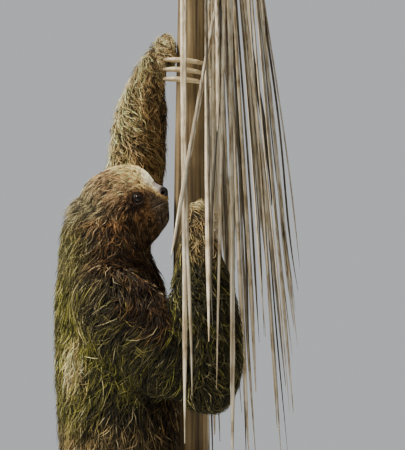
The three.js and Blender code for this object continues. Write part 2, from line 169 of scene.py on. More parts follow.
TONE = {
    "back": linear(166, 160, 78),
    "algae": linear(134, 132, 54),
    "flank": linear(70, 63, 28),
    "belly": linear(88, 68, 32),
    "throat": linear(88, 62, 34),
    "rust": linear(124, 82, 44),
    "shoulder": linear(132, 118, 80),
    # The dark stripe down the back; the same tone is also painted as shade on the raised arm.
    "spine_and_shade": linear(96, 82, 54),
    "rump": linear(162, 136, 92),
    "patch": linear(255, 214, 150),
    # The raised arm's pale tone and the near arm's dark tone are partly their own colours and partly painted
    # light and painted shade: one coat, painted paler where it is lit and darker where it hangs in shade.
    "pale_arm": linear(236, 208, 142),
    # Painted shade for the side of the raised arm that faces away from the light.
    "raised_arm_shade": linear(204, 164, 108),
    "dark_arm": linear(114, 104, 54),
    "wrist": linear(242, 198, 136),
    # Cream of the forehead, pale partly as a painted highlight on the top of the head.
    "crown": linear(255, 202, 132),
    "temple": linear(206, 168, 118),
    "nape": linear(168, 154, 112),
    "eye_ring": linear(160, 108, 62),
    "cheek": linear(166, 118, 68),
    "chin": linear(142, 106, 66),
    "muzzle": linear(144, 120, 94),
    # Cream of the nose ridge, pale partly as a painted highlight along its top.
    "bridge": linear(255, 230, 190),
    "mask": linear(76, 48, 30),
    "straw": linear(232, 216, 166),
    "bare_muzzle": linear(92, 82, 76),
    # Pale grey top of the bare muzzle, partly a painted highlight.
    "bare_top": linear(150, 138, 132),
    "nose": linear(30, 25, 25),
    "lid": linear(28, 18, 13),
    # Dark lips, and painted shade in the nostrils and the groove of the mouth.
    "mouth_and_shade": linear(14, 10, 8),
    # Pale grey lip skin, also painted as the highlight on the lower lip and on the lower lids.
    "lip_and_highlight": linear(118, 102, 90),
}


# ---- arrays ---------------------------------------------------------------------------------------


def unit(vectors):
    """Vectors of length one."""
    return vectors / np.maximum(np.linalg.norm(vectors, axis=-1, keepdims=True), 1e-12)


def along_surface(vectors, normals):
    """What is left of vectors when their part along the normals is taken away."""
    return vectors - normals * np.sum(vectors * normals, axis=1, keepdims=True)


def ramp(values, low, high):
    """0 below low, 1 above high and smooth between; low may be above high."""
    share = np.clip((values - low) / (high - low), 0, 1)
    return share * share * (3 - 2 * share)


def bump(values, middle, width):
    """1 at middle, falling off like a bell."""
    return np.exp(-(((values - middle) / width) ** 2))


def mix(first, second, share):
    """first where share is 0, second where it is 1."""
    share = np.asarray(share)[..., None]
    return np.asarray(first) * (1 - share) + np.asarray(second) * share


def lattice_noise(points, cell, seed):
    """Smooth noise from 0 to 1 at points, with features about cell across."""
    size = 32
    lattice = np.random.default_rng(seed).random((size, size, size))
    place = points / cell
    corner = np.floor(place).astype(int)
    share = place - corner
    share = share * share * (3 - 2 * share)
    total = np.zeros(len(points))
    for dx in (0, 1):
        for dy in (0, 1):
            for dz in (0, 1):
                weight = (
                    np.abs(1 - dx - share[:, 0]) * np.abs(1 - dy - share[:, 1]) * np.abs(1 - dz - share[:, 2])
                )
                index = (corner + (dx, dy, dz)) % size
                total += weight * lattice[index[:, 0], index[:, 1], index[:, 2]]
    return total


def painted(colour, *layers):
    """colour under layers of (a tone or its name, how much it covers), laid on in turn."""
    for over, share in layers:
        colour = mix(colour, TONE[over] if isinstance(over, str) else over, share)
    return colour


def even_spots(chooser, count):
    """Even random places on triangles, as shares of the way to the second and the third corner."""
    first, second = chooser.random((2, count))
    fold = first + second > 1
    return np.where(fold, 1 - first, first), np.where(fold, 1 - second, second)


def nearest_index(places, points):
    """Which of the places is nearest to each point."""
    tree = KDTree(len(places))
    for index, place in enumerate(places.tolist()):
        tree.insert(place, index)
    tree.balance()
    return np.array([tree.find(point)[1] for point in points.tolist()])


def node_middle(name):
    low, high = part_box(name)
    return np.array((low + high) / 2)


def read(mesh_items, attribute, width, kind=np.float32):
    values = np.empty(len(mesh_items) * width, kind)
    mesh_items.foreach_get(attribute, values)
    return values.reshape(-1, width).astype(float if kind is np.float32 else int)


def places_of(mesh):
    return read(mesh.vertices, "co", 3)


def normals_of(mesh):
    return read(mesh.vertex_normals, "vector", 3)


def edges_of(mesh):
    return read(mesh.edges, "vertices", 2, np.int32)


def triangles_of(mesh):
    mesh.calc_loop_triangles()
    return read(mesh.loop_triangles, "vertices", 3, np.int32)


def triangle_areas(corners):
    one, other = corners[:, 1] - corners[:, 0], corners[:, 2] - corners[:, 0]
    return np.linalg.norm(np.cross(one, other), axis=1) / 2


# ---- the head's landmarks -------------------------------------------------------------------------


class HeadAxes:
    """Axes from between the eyes: ahead to the nose, above, and out to the animal's right; the sizes
    are in millimetres."""

    def __init__(self):
        right_eye, left_eye = node_middle("eye_right"), node_middle("eye_left")
        nose = node_middle("nose")
        self.middle = (right_eye + left_eye) / 2
        self.right = unit(right_eye - left_eye)
        towards_nose = nose - self.middle
        self.ahead = unit(towards_nose - self.right * (towards_nose @ self.right))
        self.above = np.cross(self.right, self.ahead)
        self.eye_out = np.linalg.norm(right_eye - left_eye) / 2 / MM
        self.muzzle = np.linalg.norm(towards_nose) / MM
        low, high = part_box("eye_right")
        self.eye_radius = (high.z - low.z) / 2 / MM

    def split(self, points):
        """How far ahead, above and out to the right of the eyes' middle the points are, in mm."""
        offset = (points - self.middle) / MM
        return offset @ self.ahead, offset @ self.above, offset @ self.right

    def at(self, ahead, above, right):
        """The point that many millimetres from the eyes' middle."""
        return self.middle + (self.ahead * ahead + self.above * above + self.right * right) * MM


HEAD = HeadAxes()


def mouth_line(ahead):
    """Height of the line of the mouth, in mm, at a distance ahead of the eyes."""
    return -15.6 + 0.13 * ahead - 1.2 * ramp(ahead, 4, -3)


def bridge_level(ahead, above):
    """How near a point is to the profile of forehead and nose, which lies at about 23.5 mm."""
    return 0.778 * ahead + 0.628 * above


def from_eyes(points):
    """Distance from the nearer eye, in mm, counted less to the side."""
    ahead, above, right = HEAD.split(points)
    return np.sqrt(ahead**2 + above**2 + (0.5 * (np.abs(right) - HEAD.eye_out)) ** 2)


def length_on_head(points):
    """Hair length in mm: shortest on the muzzle, longer on the chin, longest on crown and nape."""
    ahead, above, _ = HEAD.split(points)
    back = ramp(ahead - 0.2 * above, 17, -13) * ramp(from_eyes(points), 5, 15)
    under = ramp(above, -16, -34)
    return 2.6 + 11.5 * back + 6.0 * ramp(ahead, -16, -42) + 5.0 * under


def bare_share(points):
    """1 on the bare skin of the nose, lips and lids."""
    ahead, above, right = HEAD.split(points)
    from_nose = np.sqrt((ahead - HEAD.muzzle + 1) ** 2 + (1.05 * above) ** 2 + (0.9 * right) ** 2)
    pad = ramp(from_nose, 10.5, 8.5)
    on_top = np.sqrt(((ahead - 20) / 8) ** 2 + ((above - 6.5) / 7) ** 2 + (right / 9) ** 2)
    lips = bump(above - mouth_line(ahead) + 0.4, 0, 1.6) * ramp(ahead, 2, 9)
    return np.maximum.reduce([pad, ramp(on_top, 1.2, 0.9), 0.9 * lips, ramp(from_eyes(points), 7.6, 6.4)])


def chest_fall(points):
    """1 where the chest's hair hangs over the top of the near arm."""
    x, y, z = (points / MM).T
    low_edge = 484 - 0.74 * (x + 57)
    across = ramp(z - low_edge, -9, 9) * ramp(x, -50, -24) * ramp(x, 30, 16)
    return across * ramp(y, 0, -20) * ramp(z, 530, 515)


# ---- mesh making ----------------------------------------------------------------------------------


def add_object(name, data):
    piece = bpy.data.objects.new(name, data)
    bpy.context.scene.collection.objects.link(piece)
    return piece


def mesh_from(work, name):
    """A new mesh of what a bmesh holds; the bmesh is freed."""
    mesh = bpy.data.meshes.new(name)
    work.to_mesh(mesh)
    work.free()
    return mesh


def welded(node):
    """A bmesh of a node's solid with its doubles merged."""
    work = bmesh.new()
    work.from_mesh(frame["nodes"][node].data)
    bmesh.ops.remove_doubles(work, verts=work.verts, dist=WELD)
    return work


def finish_piece(piece, material, replaced=()):
    """Gives a piece its material and its body, and hides the nodes that it stands for."""
    piece.data.materials.clear()
    piece.data.materials.append(material)
    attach(piece, "root")
    if replaced:
        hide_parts(*replaced)
    return piece


def evaluated_mesh(piece):
    """The piece's mesh with its modifiers applied."""
    return bpy.data.meshes.new_from_object(piece.evaluated_get(bpy.context.evaluated_depsgraph_get()))


def joined_copy(name, nodes, swell):
    """One mesh of the nodes, each welded and swollen a little."""
    joined = bmesh.new()
    for node in nodes:
        part = welded(node)
        part.normal_update()
        for vert, normal in [(v, v.normal.copy()) for v in part.verts]:
            vert.co += normal * swell
        moved = mesh_from(part, "part")
        joined.from_mesh(moved)
        bpy.data.meshes.remove(moved)
    return mesh_from(joined, name)


def remeshed(name, nodes, swell, voxel):
    """The nodes as one even, closed surface."""
    piece = add_object(name, joined_copy(name, nodes, swell))
    remesh = piece.modifiers.new("even", "REMESH")
    remesh.mode = "VOXEL"
    remesh.voxel_size = voxel
    mesh = evaluated_mesh(piece)
    piece.modifiers.clear()
    piece.data = mesh
    return piece


def neighbour_mean(values, edges, count):
    """Each vertex's mean of its neighbours' values."""
    one, other = edges[:, 0], edges[:, 1]
    around = np.bincount(one, minlength=count) + np.bincount(other, minlength=count)
    mean = np.empty_like(values)
    for column in range(values.shape[1]):
        mean[:, column] = np.bincount(one, values[other, column], count)
        mean[:, column] += np.bincount(other, values[one, column], count)
    return mean / np.maximum(around, 1)[:, None]


def relaxed(values, edges, rounds, share=0.5):
    """values smoothed over the mesh; share may be one number or one for each vertex."""
    share = np.broadcast_to(np.asarray(share, float), (len(values),))[:, None]
    for _ in range(rounds):
        values = values + (neighbour_mean(values, edges, len(values)) - values) * share
    return values


def write_vertices(mesh, places):
    mesh.vertices.foreach_set("co", places.astype(np.float32).ravel())
    mesh.update()


def set_colour(mesh, name, colours):
    layer = mesh.color_attributes.new(name, "FLOAT_COLOR", "POINT")
    with_alpha = np.ones((len(colours), 4), np.float32)
    with_alpha[:, :3] = colours
    layer.data.foreach_set("color", with_alpha.ravel())


def set_value(mesh, name, values):
    layer = mesh.attributes.new(name, "FLOAT", "POINT")
    layer.data.foreach_set("value", values.astype(np.float32))


# ---- the coat's rules over the body ---------------------------------------------------------------


def zone_shares(points, edges):
    """How much of each zone lies at each skin vertex, softly blended where zones meet."""
    samples, labels = [], []
    for label, node in enumerate(FLESH):
        mesh = frame["nodes"][node].data
        corners = places_of(mesh)[triangles_of(mesh)]
        counts = np.ceil(triangle_areas(corners) / SAMPLE_AREA).astype(int)
        chosen = np.repeat(np.arange(len(corners)), counts)
        first, second = even_spots(np.random.default_rng(label), len(chosen))
        a, b, c = corners[chosen].transpose(1, 0, 2)
        samples.append(a + (b - a) * first[:, None] + (c - a) * second[:, None])
        labels.append(np.full(len(chosen), label))
    nearest = nearest_index(np.concatenate(samples), points)
    shares = np.zeros((len(points), len(FLESH)))
    shares[np.arange(len(points)), np.concatenate(labels)[nearest]] = 1
    return relaxed(shares, edges, 14)


def zone(shares, *nodes):
    """How much of the named zones lies at each vertex."""
    return sum(shares[:, FLESH.index(node)] for node in nodes)


def head_share(shares):
    return ramp(zone(shares, "head", "lower_jaw"), 0.1, 0.8)


def zone_values(shares, name):
    """One of the zones' numbers at each vertex."""
    return shares @ np.array([getattr(rules, name) for rules in ZONES.values()])


def coat_lie(points, normals, shares, edges):
    """The way that the hair points at each vertex, along the surface."""
    lies = unit(np.array([rules.lie for rules in ZONES.values()]))
    flow = shares @ lies
    ahead, above, right = HEAD.split(points)
    head = head_share(shares)
    upward = 0.75 * ramp(above, -2, 12) * ramp(ahead, -22, 2)
    downward = 1.1 * ramp(above, 4, -18) + 0.5 * ramp(ahead, -10, -45)
    sideways = 0.3 * np.sign(right) * ramp(np.abs(right), 0, 14)
    backward = -HEAD.ahead * (1.1 - 0.5 * ramp(above, 0, -24))[:, None]
    backward = backward + HEAD.above * (upward - downward)[:, None] + HEAD.right * sideways[:, None]
    flow = mix(flow, unit(backward), ramp(head, 0.2, 0.8))
    flow = mix(flow, unit(np.array(CHEST_LIE)), 0.85 * chest_fall(points) * (1 - head))
    outward = np.zeros_like(points)
    outward[:, 1] = np.sign(points[:, 1])
    flow = unit(flow) + outward * (1.1 * ramp(normals[:, 2], 0.3, 0.85) * (1 - head))[:, None]
    swirl = np.stack([lattice_noise(points, 34 * MM, seed) for seed in (11, 12, 13)], axis=1) - 0.5
    flow = along_surface(unit(flow) + swirl * (0.9 - 0.5 * head[:, None]), normals)
    return unit(along_surface(relaxed(unit(flow), edges, 6), normals))


def wrist_share(points, shares):
    """1 on the forearms close to the hands, where the coat grows thinner."""
    height = points[:, 2] / MM
    total = np.zeros(len(points))
    for side, above_middle in (("right", -12), ("left", 12)):
        hand_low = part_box(side + "_hand")[0].z / MM + above_middle
        total += zone(shares, side + "_forearm") * ramp(height, hand_low - 34, hand_low)
    return total


def coat_sizes(points, shares):
    """Hair length and coat depth, in metres, and how far a hair turns, at each vertex."""
    head = head_share(shares)
    on_head = length_on_head(points)
    bare = bare_share(points) * head
    length = zone_values(shares, "length") * (1 - head) + on_head * head
    depth = zone_values(shares, "depth") * (1 - head) + (0.30 * on_head + 0.3) * head
    curl = zone_values(shares, "curl") * (1 - head) + ramp(on_head, 5, 18) * 1.1 * head
    wrist = wrist_share(points, shares)
    depth = depth * (1 - 0.6 * bare) * (1 - 0.5 * wrist)
    return length * (1 - 0.3 * wrist) * MM, depth * MM, curl


def fluff(points, normals, shares):
    """How much further the hair stands out than it lies elsewhere: more on the nape, below the chin
    and on the raised arm."""
    x, _, z = (points / MM).T
    raised = zone(shares, "left_forearm", "left_hand") + 0.6 * zone(shares, "left_upper_arm")
    raised = raised * ramp(normals[:, 0], 0.3, -0.5)
    nape = 0.75 * bump(x, -76, 16) * bump(z, 580, 20)
    return 1 + nape + 0.4 * bump(x, 2, 15) * bump(z, 508, 26) + 0.35 * raised


def coat_colours(points, normals, shares):
    """The markings: hair colour and how much of it algae has turned green, at each point."""
    x, y, z = (points / MM).T
    low, high = (np.array(corner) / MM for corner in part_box("trunk"))
    middle = (low + high) / 2
    turn = math.radians(BACK_TURN)
    dorsal = normals @ np.array([-math.cos(turn), -math.sin(turn), 0])
    lateral = (x - middle[0]) * -math.sin(turn) + (y - middle[1]) * math.cos(turn)
    large = lattice_noise(points, 46 * MM, 21)
    small = lattice_noise(points, 15 * MM, 22)

    stripe = bump(lateral, 0, 10) * ramp(dorsal, 0.4, 0.8) * ramp(z, 520, 470)
    patch = bump(np.abs(lateral), 37, 12) * bump(z, 407, 33) * ramp(dorsal, 0.1, 0.5)
    patch += 0.5 * bump(np.abs(lateral), 40, 10) * bump(z, 310, 22) * ramp(dorsal, 0.2, 0.6)
    neck = zone(shares, "neck")
    back_of_neck = mix(TONE["nape"], TONE["back"], 0.4 * ramp(z, 600, 540))
    rust = bump(x, -32, 26) * bump(z, 510, 34)
    chest = ramp(dorsal, 0.1, -0.5) * ramp(z, 360, 420)
    colour = painted(
        TONE["belly"],
        ("flank", ramp(dorsal, -0.6, 0.1)),
        ("back", ramp(dorsal + 0.4 * (large - 0.5), 0.3, 0.95)),
        ("shoulder", 0.8 * ramp(z, 470, 530) * ramp(dorsal, -0.4, 0.2)),
        ("rump", 0.8 * ramp(z, 365, 315) * ramp(dorsal, -1.0, 0.1)),
        ("flank", 0.6 * ramp(z, 290, 220)),
        ("spine_and_shade", 0.85 * stripe),
        ("patch", np.clip(ramp(patch + 0.5 * (small - 0.5), 0.2, 0.55), 0, 0.95)),
        (mix(TONE["throat"], back_of_neck, ramp(dorsal + 0.3 * (large - 0.5), 0, 0.8)), neck),
        ("rust", 0.75 * rust),
        (mix(TONE["throat"], TONE["rust"], 0.5 * large), 0.8 * chest * (1 - neck)),
    )

    right_arm = zone(shares, "right_upper_arm", "right_forearm")
    left_arm = zone(shares, "left_upper_arm", "left_forearm")
    legs = zone(shares, "right_thigh", "right_shin", "left_thigh", "left_shin")
    ends = zone(shares, *LIMB_ENDS)
    head = head_share(shares)
    fall = chest_fall(points)
    shoulder = zone(shares, "right_upper_arm") * ramp(x, -16, -42) * ramp(z, 436, 472)
    # Painted shade on the raised arm: darker on the side that faces away from the key light, broken up by
    # noise, and darker still with the back stripe's tone where it faces towards +x, away from the light.
    shaded_side = ramp(normals @ np.array([0.8, -0.3, -0.5]) + 0.5 * (large - 0.5), -1.0, 0.4)
    in_shade = 0.6 * ramp(normals[:, 0], 0.5, 0.95)
    raised = painted(TONE["pale_arm"], ("raised_arm_shade", shaded_side), ("spine_and_shade", in_shade))
    colour = painted(
        colour,
        # The near arm is painted darker: partly its own colour, partly painted shade.
        (mix(TONE["dark_arm"], TONE["flank"], large), 0.9 * right_arm),
        ("shoulder", 0.8 * shoulder),
        (mix(TONE["throat"], TONE["rust"], 0.6 * large), 0.85 * fall),
        # The raised arm is painted paler: partly its own colour, partly painted light.
        (raised, left_arm * ramp(z + 30 * (large - 0.5), 462, 530)),
        (mix(TONE["flank"], TONE["dark_arm"], large), legs),
        ("wrist", np.clip(ends + 0.35 * wrist_share(points, shares), 0, 1)),
        (head_colours(points), head),
    )

    algae = ramp(dorsal, 0.25, 0.85) * ramp(z, 330, 400) * ramp(z, 590, 520) * (0.45 + 0.8 * large)
    algae = algae * (1 - head) * (1 - left_arm) * (1 - ends) * (1 - ramp(patch, 0.2, 0.6))
    on_arm = 0.35 * right_arm * ramp(z, 540, 440) * (0.3 + large)
    algae = np.maximum(algae, on_arm) * (1 - np.maximum(fall, 0.6 * shoulder))
    return colour, np.clip(algae, 0, 1)


def head_colours(points):
    """Hair colour on the head: cream forehead and nose ridge, paler towards the top partly as a painted
    highlight, tan temples, a dark smudge under each eye, brown cheeks and a dark chin."""
    ahead, above, right = HEAD.split(points)
    grain = 5 * (lattice_noise(points, 7 * MM, 23) - 0.5)
    level = bridge_level(ahead, above) + grain
    side = ramp(np.abs(right), 8, 16)
    from_eye = np.hypot(ahead, above)
    smudge = np.hypot((ahead + 5.5 + 0.4 * above) / 9.5, (above + 6.5) / 4.2) + 0.05 * grain
    temple = np.hypot((ahead + 20) / 14, (above + 5 + 0.15 * ahead) / 4.5) + 0.05 * grain
    mask = np.maximum(ramp(smudge, 1.3, 0.7), 0.5 * ramp(temple, 1.3, 0.6))
    mask = np.maximum(mask, 0.8 * ramp(from_eye + 0.3 * grain, 9.5, 7.5))
    return painted(
        TONE["temple"],
        ("nape", ramp(ahead + grain, -22, -46)),
        # Crown and nose bridge: cream of their own, growing paler towards the top of the profile as a painted
        # highlight where the key light falls.
        ("crown", ramp(level, 5, 20) * ramp(ahead, -32, 0)),
        ("eye_ring", 0.8 * bump(from_eye, 11, 6) * side * ramp(above, 12, 2)),
        ("cheek", ramp(above + grain + 0.12 * ahead, -5, -14)),
        ("chin", ramp(above + grain, -18, -30)),
        ("muzzle", ramp(ahead + 0.5 * grain, 7, 15) * ramp(level, 17, 11)),
        ("bridge", ramp(ahead, 9, 17) * ramp(level, 15.5, 20) * ramp(above, -4, 2)),
        ("mask", mask * ramp(np.abs(right), 10, 18)),
    )


def skin_colours(points, normals, shares):
    """The same markings on the skin, darkened as painted shade under the hair, with the bare face's
    colours, among them painted shade and painted highlights.
    """
    colour, algae = coat_colours(points, normals, shares)
    head = head_share(shares)
    short = ramp(length_on_head(points), 12, 5) * head
    # Painted shade: the skin under the hair is darkened, less where the hair on the head is short.
    colour = painted(colour, ("algae", 0.5 * algae)) * (0.12 + 0.38 * short)[:, None]
    ahead, above, right = HEAD.split(points)
    beside = ramp(np.abs(right), 8, 14)
    speckle = 5 * (lattice_noise(points, 3 * MM, 24) - 0.5)
    from_nose = np.sqrt((ahead - HEAD.muzzle - 1.5) ** 2 + (above + 2.0) ** 2 + (0.6 * right) ** 2)
    from_eye = np.hypot(ahead - 0.6, above + 0.7)
    # Painted highlight: a thin pale line on the lower lid's edge, standing in for light on its wet rim.
    lid_highlight = bump(from_eye, 5.4, 0.5) * ramp(ahead - above, 0, 4) * beside
    # The bare muzzle's top is paler: partly its own pale grey, partly a painted highlight along the ridge
    # where the light falls.
    on_top = ramp(bridge_level(ahead, above) + speckle, 15, 21) * (1 - 0.4 * ramp(ahead, 20, 27))
    bare = painted(
        TONE["bare_muzzle"],
        ("bare_top", on_top),
        ("nose", ramp(from_nose, 8.5, 6)),
        ("lid", ramp(from_eye, 13, 10) * beside),
        ("lip_and_highlight", 0.7 * lid_highlight),
    )
    from_nostril = np.hypot(ahead - HEAD.muzzle + 0.2, 1.2 * (above + 2.6))
    gap = above - mouth_line(ahead)
    in_mouth = ramp(ahead, -6, 0) * head
    return painted(
        colour,
        (bare, bare_share(points) * head),
        # Painted shade: the sunk nostrils are painted near-black.
        ("mouth_and_shade", ramp(from_nostril, 2.8, 1.8) * head * ramp(np.abs(right), 2, 4)),
        # The lower lip's edge: pale grey skin with a painted highlight where light catches it.
        ("lip_and_highlight", 0.5 * bump(gap, -1.5, 0.7) * ramp(ahead, -2, 8) * head),
        # The line of the mouth: dark lips and painted shade in its groove.
        ("mouth_and_shade", 0.9 * bump(gap, 0.2, 0.9) * in_mouth),
    )


# ---- the skin -------------------------------------------------------------------------------------


# Round each eye and round the nose, in millimetres, what is split in the first and the second pass.
FINE_REACH = ((20, 26), (12, 17))


def refine_face(mesh):
    """Splits the faces round the eyes, nose and mouth so that lids, nostrils and lips can be shaped."""
    for reach_eye, reach_nose in FINE_REACH:
        work = bmesh.new()
        work.from_mesh(mesh)
        ahead, above, right = HEAD.split(np.array([v.co for v in work.verts]))
        eye = np.sqrt(ahead**2 + above**2 + (np.abs(right) - HEAD.eye_out) ** 2) < reach_eye
        nose = np.sqrt((ahead - 20) ** 2 + (above + 8) ** 2 + (0.9 * right) ** 2) < reach_nose
        near = eye | nose
        edges = [e for e in work.edges if near[e.verts[0].index] and near[e.verts[1].index]]
        bmesh.ops.subdivide_edges(work, edges=edges, cuts=1, use_grid_fill=True)
        work.to_mesh(mesh)
        work.free()
        places = places_of(mesh)
        ahead, above, right = HEAD.split(places)
        near = np.sqrt((ahead - 8) ** 2 + (above + 4) ** 2 + (0.8 * right) ** 2) < reach_nose + 16
        write_vertices(mesh, relaxed(places, edges_of(mesh), 3, 0.45 * near))


# Half the width of the opening between the lids, and its height above and below, in millimetres.
LIDS_WIDE = 5.9
LIDS_UP = 4.9
LIDS_DOWN = 5.1
LID_THICKNESS = 0.75
EYE_GROOVE = 4.2


def shape_eyelids(places):
    """Draws the skin over the eyeballs as lids with an opening, and sinks it behind the eye inside it."""
    for node, side in EYES.items():
        outward = unit(HEAD.right * side * 0.86 + HEAD.ahead * 0.5 + HEAD.above * 0.1)
        front = unit(HEAD.ahead - outward * (HEAD.ahead @ outward))
        top = np.cross(front, outward) * side
        top = top * np.sign(top @ HEAD.above)
        offset = (places - node_middle(node)) / MM
        rise, along, up = offset @ outward, offset @ front, offset @ top
        radial = np.hypot(along, up)
        slant = up + 0.5 - 0.22 * along
        opening = np.hypot((along - 0.6) / LIDS_WIDE, slant / np.where(slant > 0, LIDS_UP, LIDS_DOWN))
        over_eye = np.sqrt(np.clip((HEAD.eye_radius + LID_THICKNESS) ** 2 - radial**2, 4, None))
        lid = over_eye + 0.3 * bump(opening, 1.12, 0.14) - 0.15 * bump(opening, 1.4, 0.15)
        sunk = over_eye - EYE_GROOVE
        target = sunk + (lid - sunk) * ramp(opening, 0.86, 1.02)
        hold = ramp(opening, 1.8, 1.15) * ((rise > -3) & (radial < 15))
        places = places + outward * ((target - rise) * hold * MM)[:, None]
    return places


# How deep nostrils, mouth and the groove below the nose are sunk, in millimetres.
NOSTRIL_DEPTH = 3.6
MOUTH_DEPTH = 1.7
GROOVE_DEPTH = 0.8


def shape_nose_and_mouth(places, normals):
    """Sinks the nostrils and the line of the mouth, and rounds the lips."""
    ahead, above, right = HEAD.split(places)
    gap = above - mouth_line(ahead)
    in_mouth = ramp(ahead, -5, 1) * (np.abs(gap) < 7)
    out = -MOUTH_DEPTH * bump(gap, 0, 0.8) * in_mouth
    out += 0.35 * bump(gap, -2.0, 1.0) * in_mouth + 0.25 * bump(gap, 2.3, 1.2) * in_mouth
    philtrum = ramp(ahead, HEAD.muzzle - 6, HEAD.muzzle - 2) * ramp(above, -3, -5)
    out -= GROOVE_DEPTH * bump(right, 0, 0.7) * philtrum * (gap > 0.5)
    places = places + normals * (out * MM)[:, None]
    short_of = np.clip(31.0 - 0.95 * ahead - 0.05 * right**2 - above, 0, 3.5)
    on_bridge = ramp(ahead, 15, 19) * ramp(ahead, 28, 25) * ramp(above, 0, 3) * ramp(np.abs(right), 9, 6)
    places = places + (HEAD.ahead * 0.35 + HEAD.above * 0.65) * (short_of * on_bridge * MM)[:, None]
    for side in EYES.values():
        nostril = HEAD.at(HEAD.muzzle - 0.2, -2.6, side * 6.3)
        offset = (places - nostril) / MM
        inward = unit(-HEAD.ahead * 0.45 - HEAD.right * side * 0.85 + HEAD.above * 0.2)
        across = unit(HEAD.ahead - inward * (HEAD.ahead @ inward))
        wide = np.hypot(offset @ across, 1.25 * (offset @ np.cross(inward, across)))
        close = ramp(np.abs(offset @ inward), 7, 5)
        depth = NOSTRIL_DEPTH * ramp(wide, 2.7, 1.1) * close - 0.6 * bump(wide, 3.5, 0.8) * close
        places = places + inward * (depth * MM)[:, None]
    return places


# Distances in millimetres between which the smoothing of the solids' shape comes in: away from the
# skull, which keeps it, and towards the near shoulder, where arm and trunk run into each other.
SKULL_MIDDLE = (-22, -6)
FROM_SKULL = (44, 74)
TO_SHOULDER = (68, 30)

# How far one correction may bring the skin out or in.
CORRECTION = (-1.5 * MM, 7 * MM)


class Skin:
    """The finished skin, as a piece and as the arrays that the coat grows from."""

    def __init__(self, settings):
        self.piece = remeshed("skin", FLESH + ("nose",), SWELL, settings.skin_voxel)
        mesh = self.piece.data
        edges = edges_of(mesh)
        places = places_of(mesh)
        faces = [tuple(face.vertices) for face in mesh.polygons]
        self.solids = BVHTree.FromPolygons(places.tolist(), faces)
        ahead, above, right = HEAD.split(places)
        from_skull = np.sqrt((ahead - SKULL_MIDDLE[0]) ** 2 + (above - SKULL_MIDDLE[1]) ** 2 + right**2)
        smoothing = 0.05 + 0.5 * ramp(from_skull, *FROM_SKULL) * self.away_from_ends(places)
        places = relaxed(places, edges, 60, smoothing)
        from_shoulder = np.linalg.norm((places / MM - RIGHT_SHOULDER) * (1, 1, 0.8), axis=1)
        places = relaxed(places, edges, 70, 0.5 * ramp(from_shoulder, *TO_SHOULDER))
        write_vertices(mesh, places)
        shares = zone_shares(places, edges)
        _, depth, _ = coat_sizes(places, shares)
        depth = relaxed(depth[:, None], edges, 8)
        places = places - normals_of(mesh) * (depth + SWELL)
        write_vertices(mesh, relaxed(places, edges, 4, 0.3))
        for _ in range(2):
            places = places_of(mesh)
            too_deep = self.below_solids(places)[:, None] - depth
            too_deep = relaxed(np.clip(too_deep, *CORRECTION), edges, 12)
            places = places + normals_of(mesh) * too_deep * 0.8
            write_vertices(mesh, relaxed(places, edges, 3, 0.3))

        refine_face(mesh)
        places = shape_eyelids(places_of(mesh))
        write_vertices(mesh, places)
        write_vertices(mesh, shape_nose_and_mouth(places, normals_of(mesh)))
        self.gather()

    def away_from_ends(self, places):
        """1 on the body and limbs, less on hands and feet, which keep their shape."""
        share = np.ones(len(places))
        for node in LIMB_ENDS:
            low, high = (np.array(corner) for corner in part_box(node))
            outside = np.linalg.norm(np.maximum(0, np.maximum(low - places, places - high)), axis=1)
            share = np.minimum(share, 0.15 + 0.85 * ramp(outside, 0, 30 * MM))
        return share

    def gather(self):
        """Reads what the coat needs to know at each vertex, and unwraps the skin."""
        mesh = self.piece.data
        edges = edges_of(mesh)
        self.places = places_of(mesh)
        self.normals = unit(relaxed(normals_of(mesh), edges, 4))
        self.shares = zone_shares(self.places, edges)
        self.length, self.depth, self.curl = coat_sizes(self.places, self.shares)
        reach = np.clip(self.below_solids(self.places), 0.6 * self.depth, 2 * self.depth)
        self.depth = relaxed(reach[:, None], edges, 10)[:, 0]
        self.lie = coat_lie(self.places, self.normals, self.shares, edges)
        self.fluff = fluff(self.places, self.normals, self.shares)
        self.bare = bare_share(self.places) * head_share(self.shares)
        self.colour, self.algae = coat_colours(self.places, self.normals, self.shares)
        set_colour(mesh, "markings", skin_colours(self.places, self.normals, self.shares))
        set_value(mesh, "bare", self.bare)
        mesh.shade_smooth()
        self.unwrap()
        self.corners = triangles_of(mesh)
        loops = read(mesh.loop_triangles, "loops", 3, np.int32)
        self.layout = read(mesh.uv_layers["OFBake"].data, "uv", 2)[loops]
        self.area = triangle_areas(self.places[self.corners])
        self.tree = BVHTree.FromPolygons(self.places.tolist(), self.corners.tolist())

    def below_solids(self, places):
        """How far each place lies inside the outline of the solids, less than 0 outside it."""
        below = np.empty(len(places))
        for index, place in enumerate(places.tolist()):
            point, normal, _, gap = self.solids.find_nearest(place)
            below[index] = gap if (point - Vector(place)).dot(normal) > 0 else -gap
        return below - SWELL

    def unwrap(self):
        self.piece.data.uv_layers.new(name="OFBake")
        bpy.context.view_layer.objects.active = self.piece
        self.piece.select_set(True)
        bpy.ops.object.mode_set(mode="EDIT")
        bpy.ops.mesh.select_all(action="SELECT")
        bpy.ops.uv.smart_project(angle_limit=math.radians(72), island_margin=0.002)
        bpy.ops.object.mode_set(mode="OBJECT")
        self.piece.select_set(False)

    def nearest(self, points):
        """The triangle and the point of the skin nearest to each point."""
        found = [self.tree.find_nearest(point) for point in points.tolist()]
        return np.array([hit[2] for hit in found]), np.array([hit[0] for hit in found])

    def over(self, values, triangles=slice(None)):
        """Vertex values carried to the middles of triangles."""
        return values[self.corners[triangles]].mean(axis=1)


# ---- tufts ----------------------------------------------------------------------------------------

# Shares of the tufts that stray from their clump, that lie low as undercoat, and that are straw pale.
STRAYS = 0.07
UNDERCOAT = 0.4
STRAW = 0.16

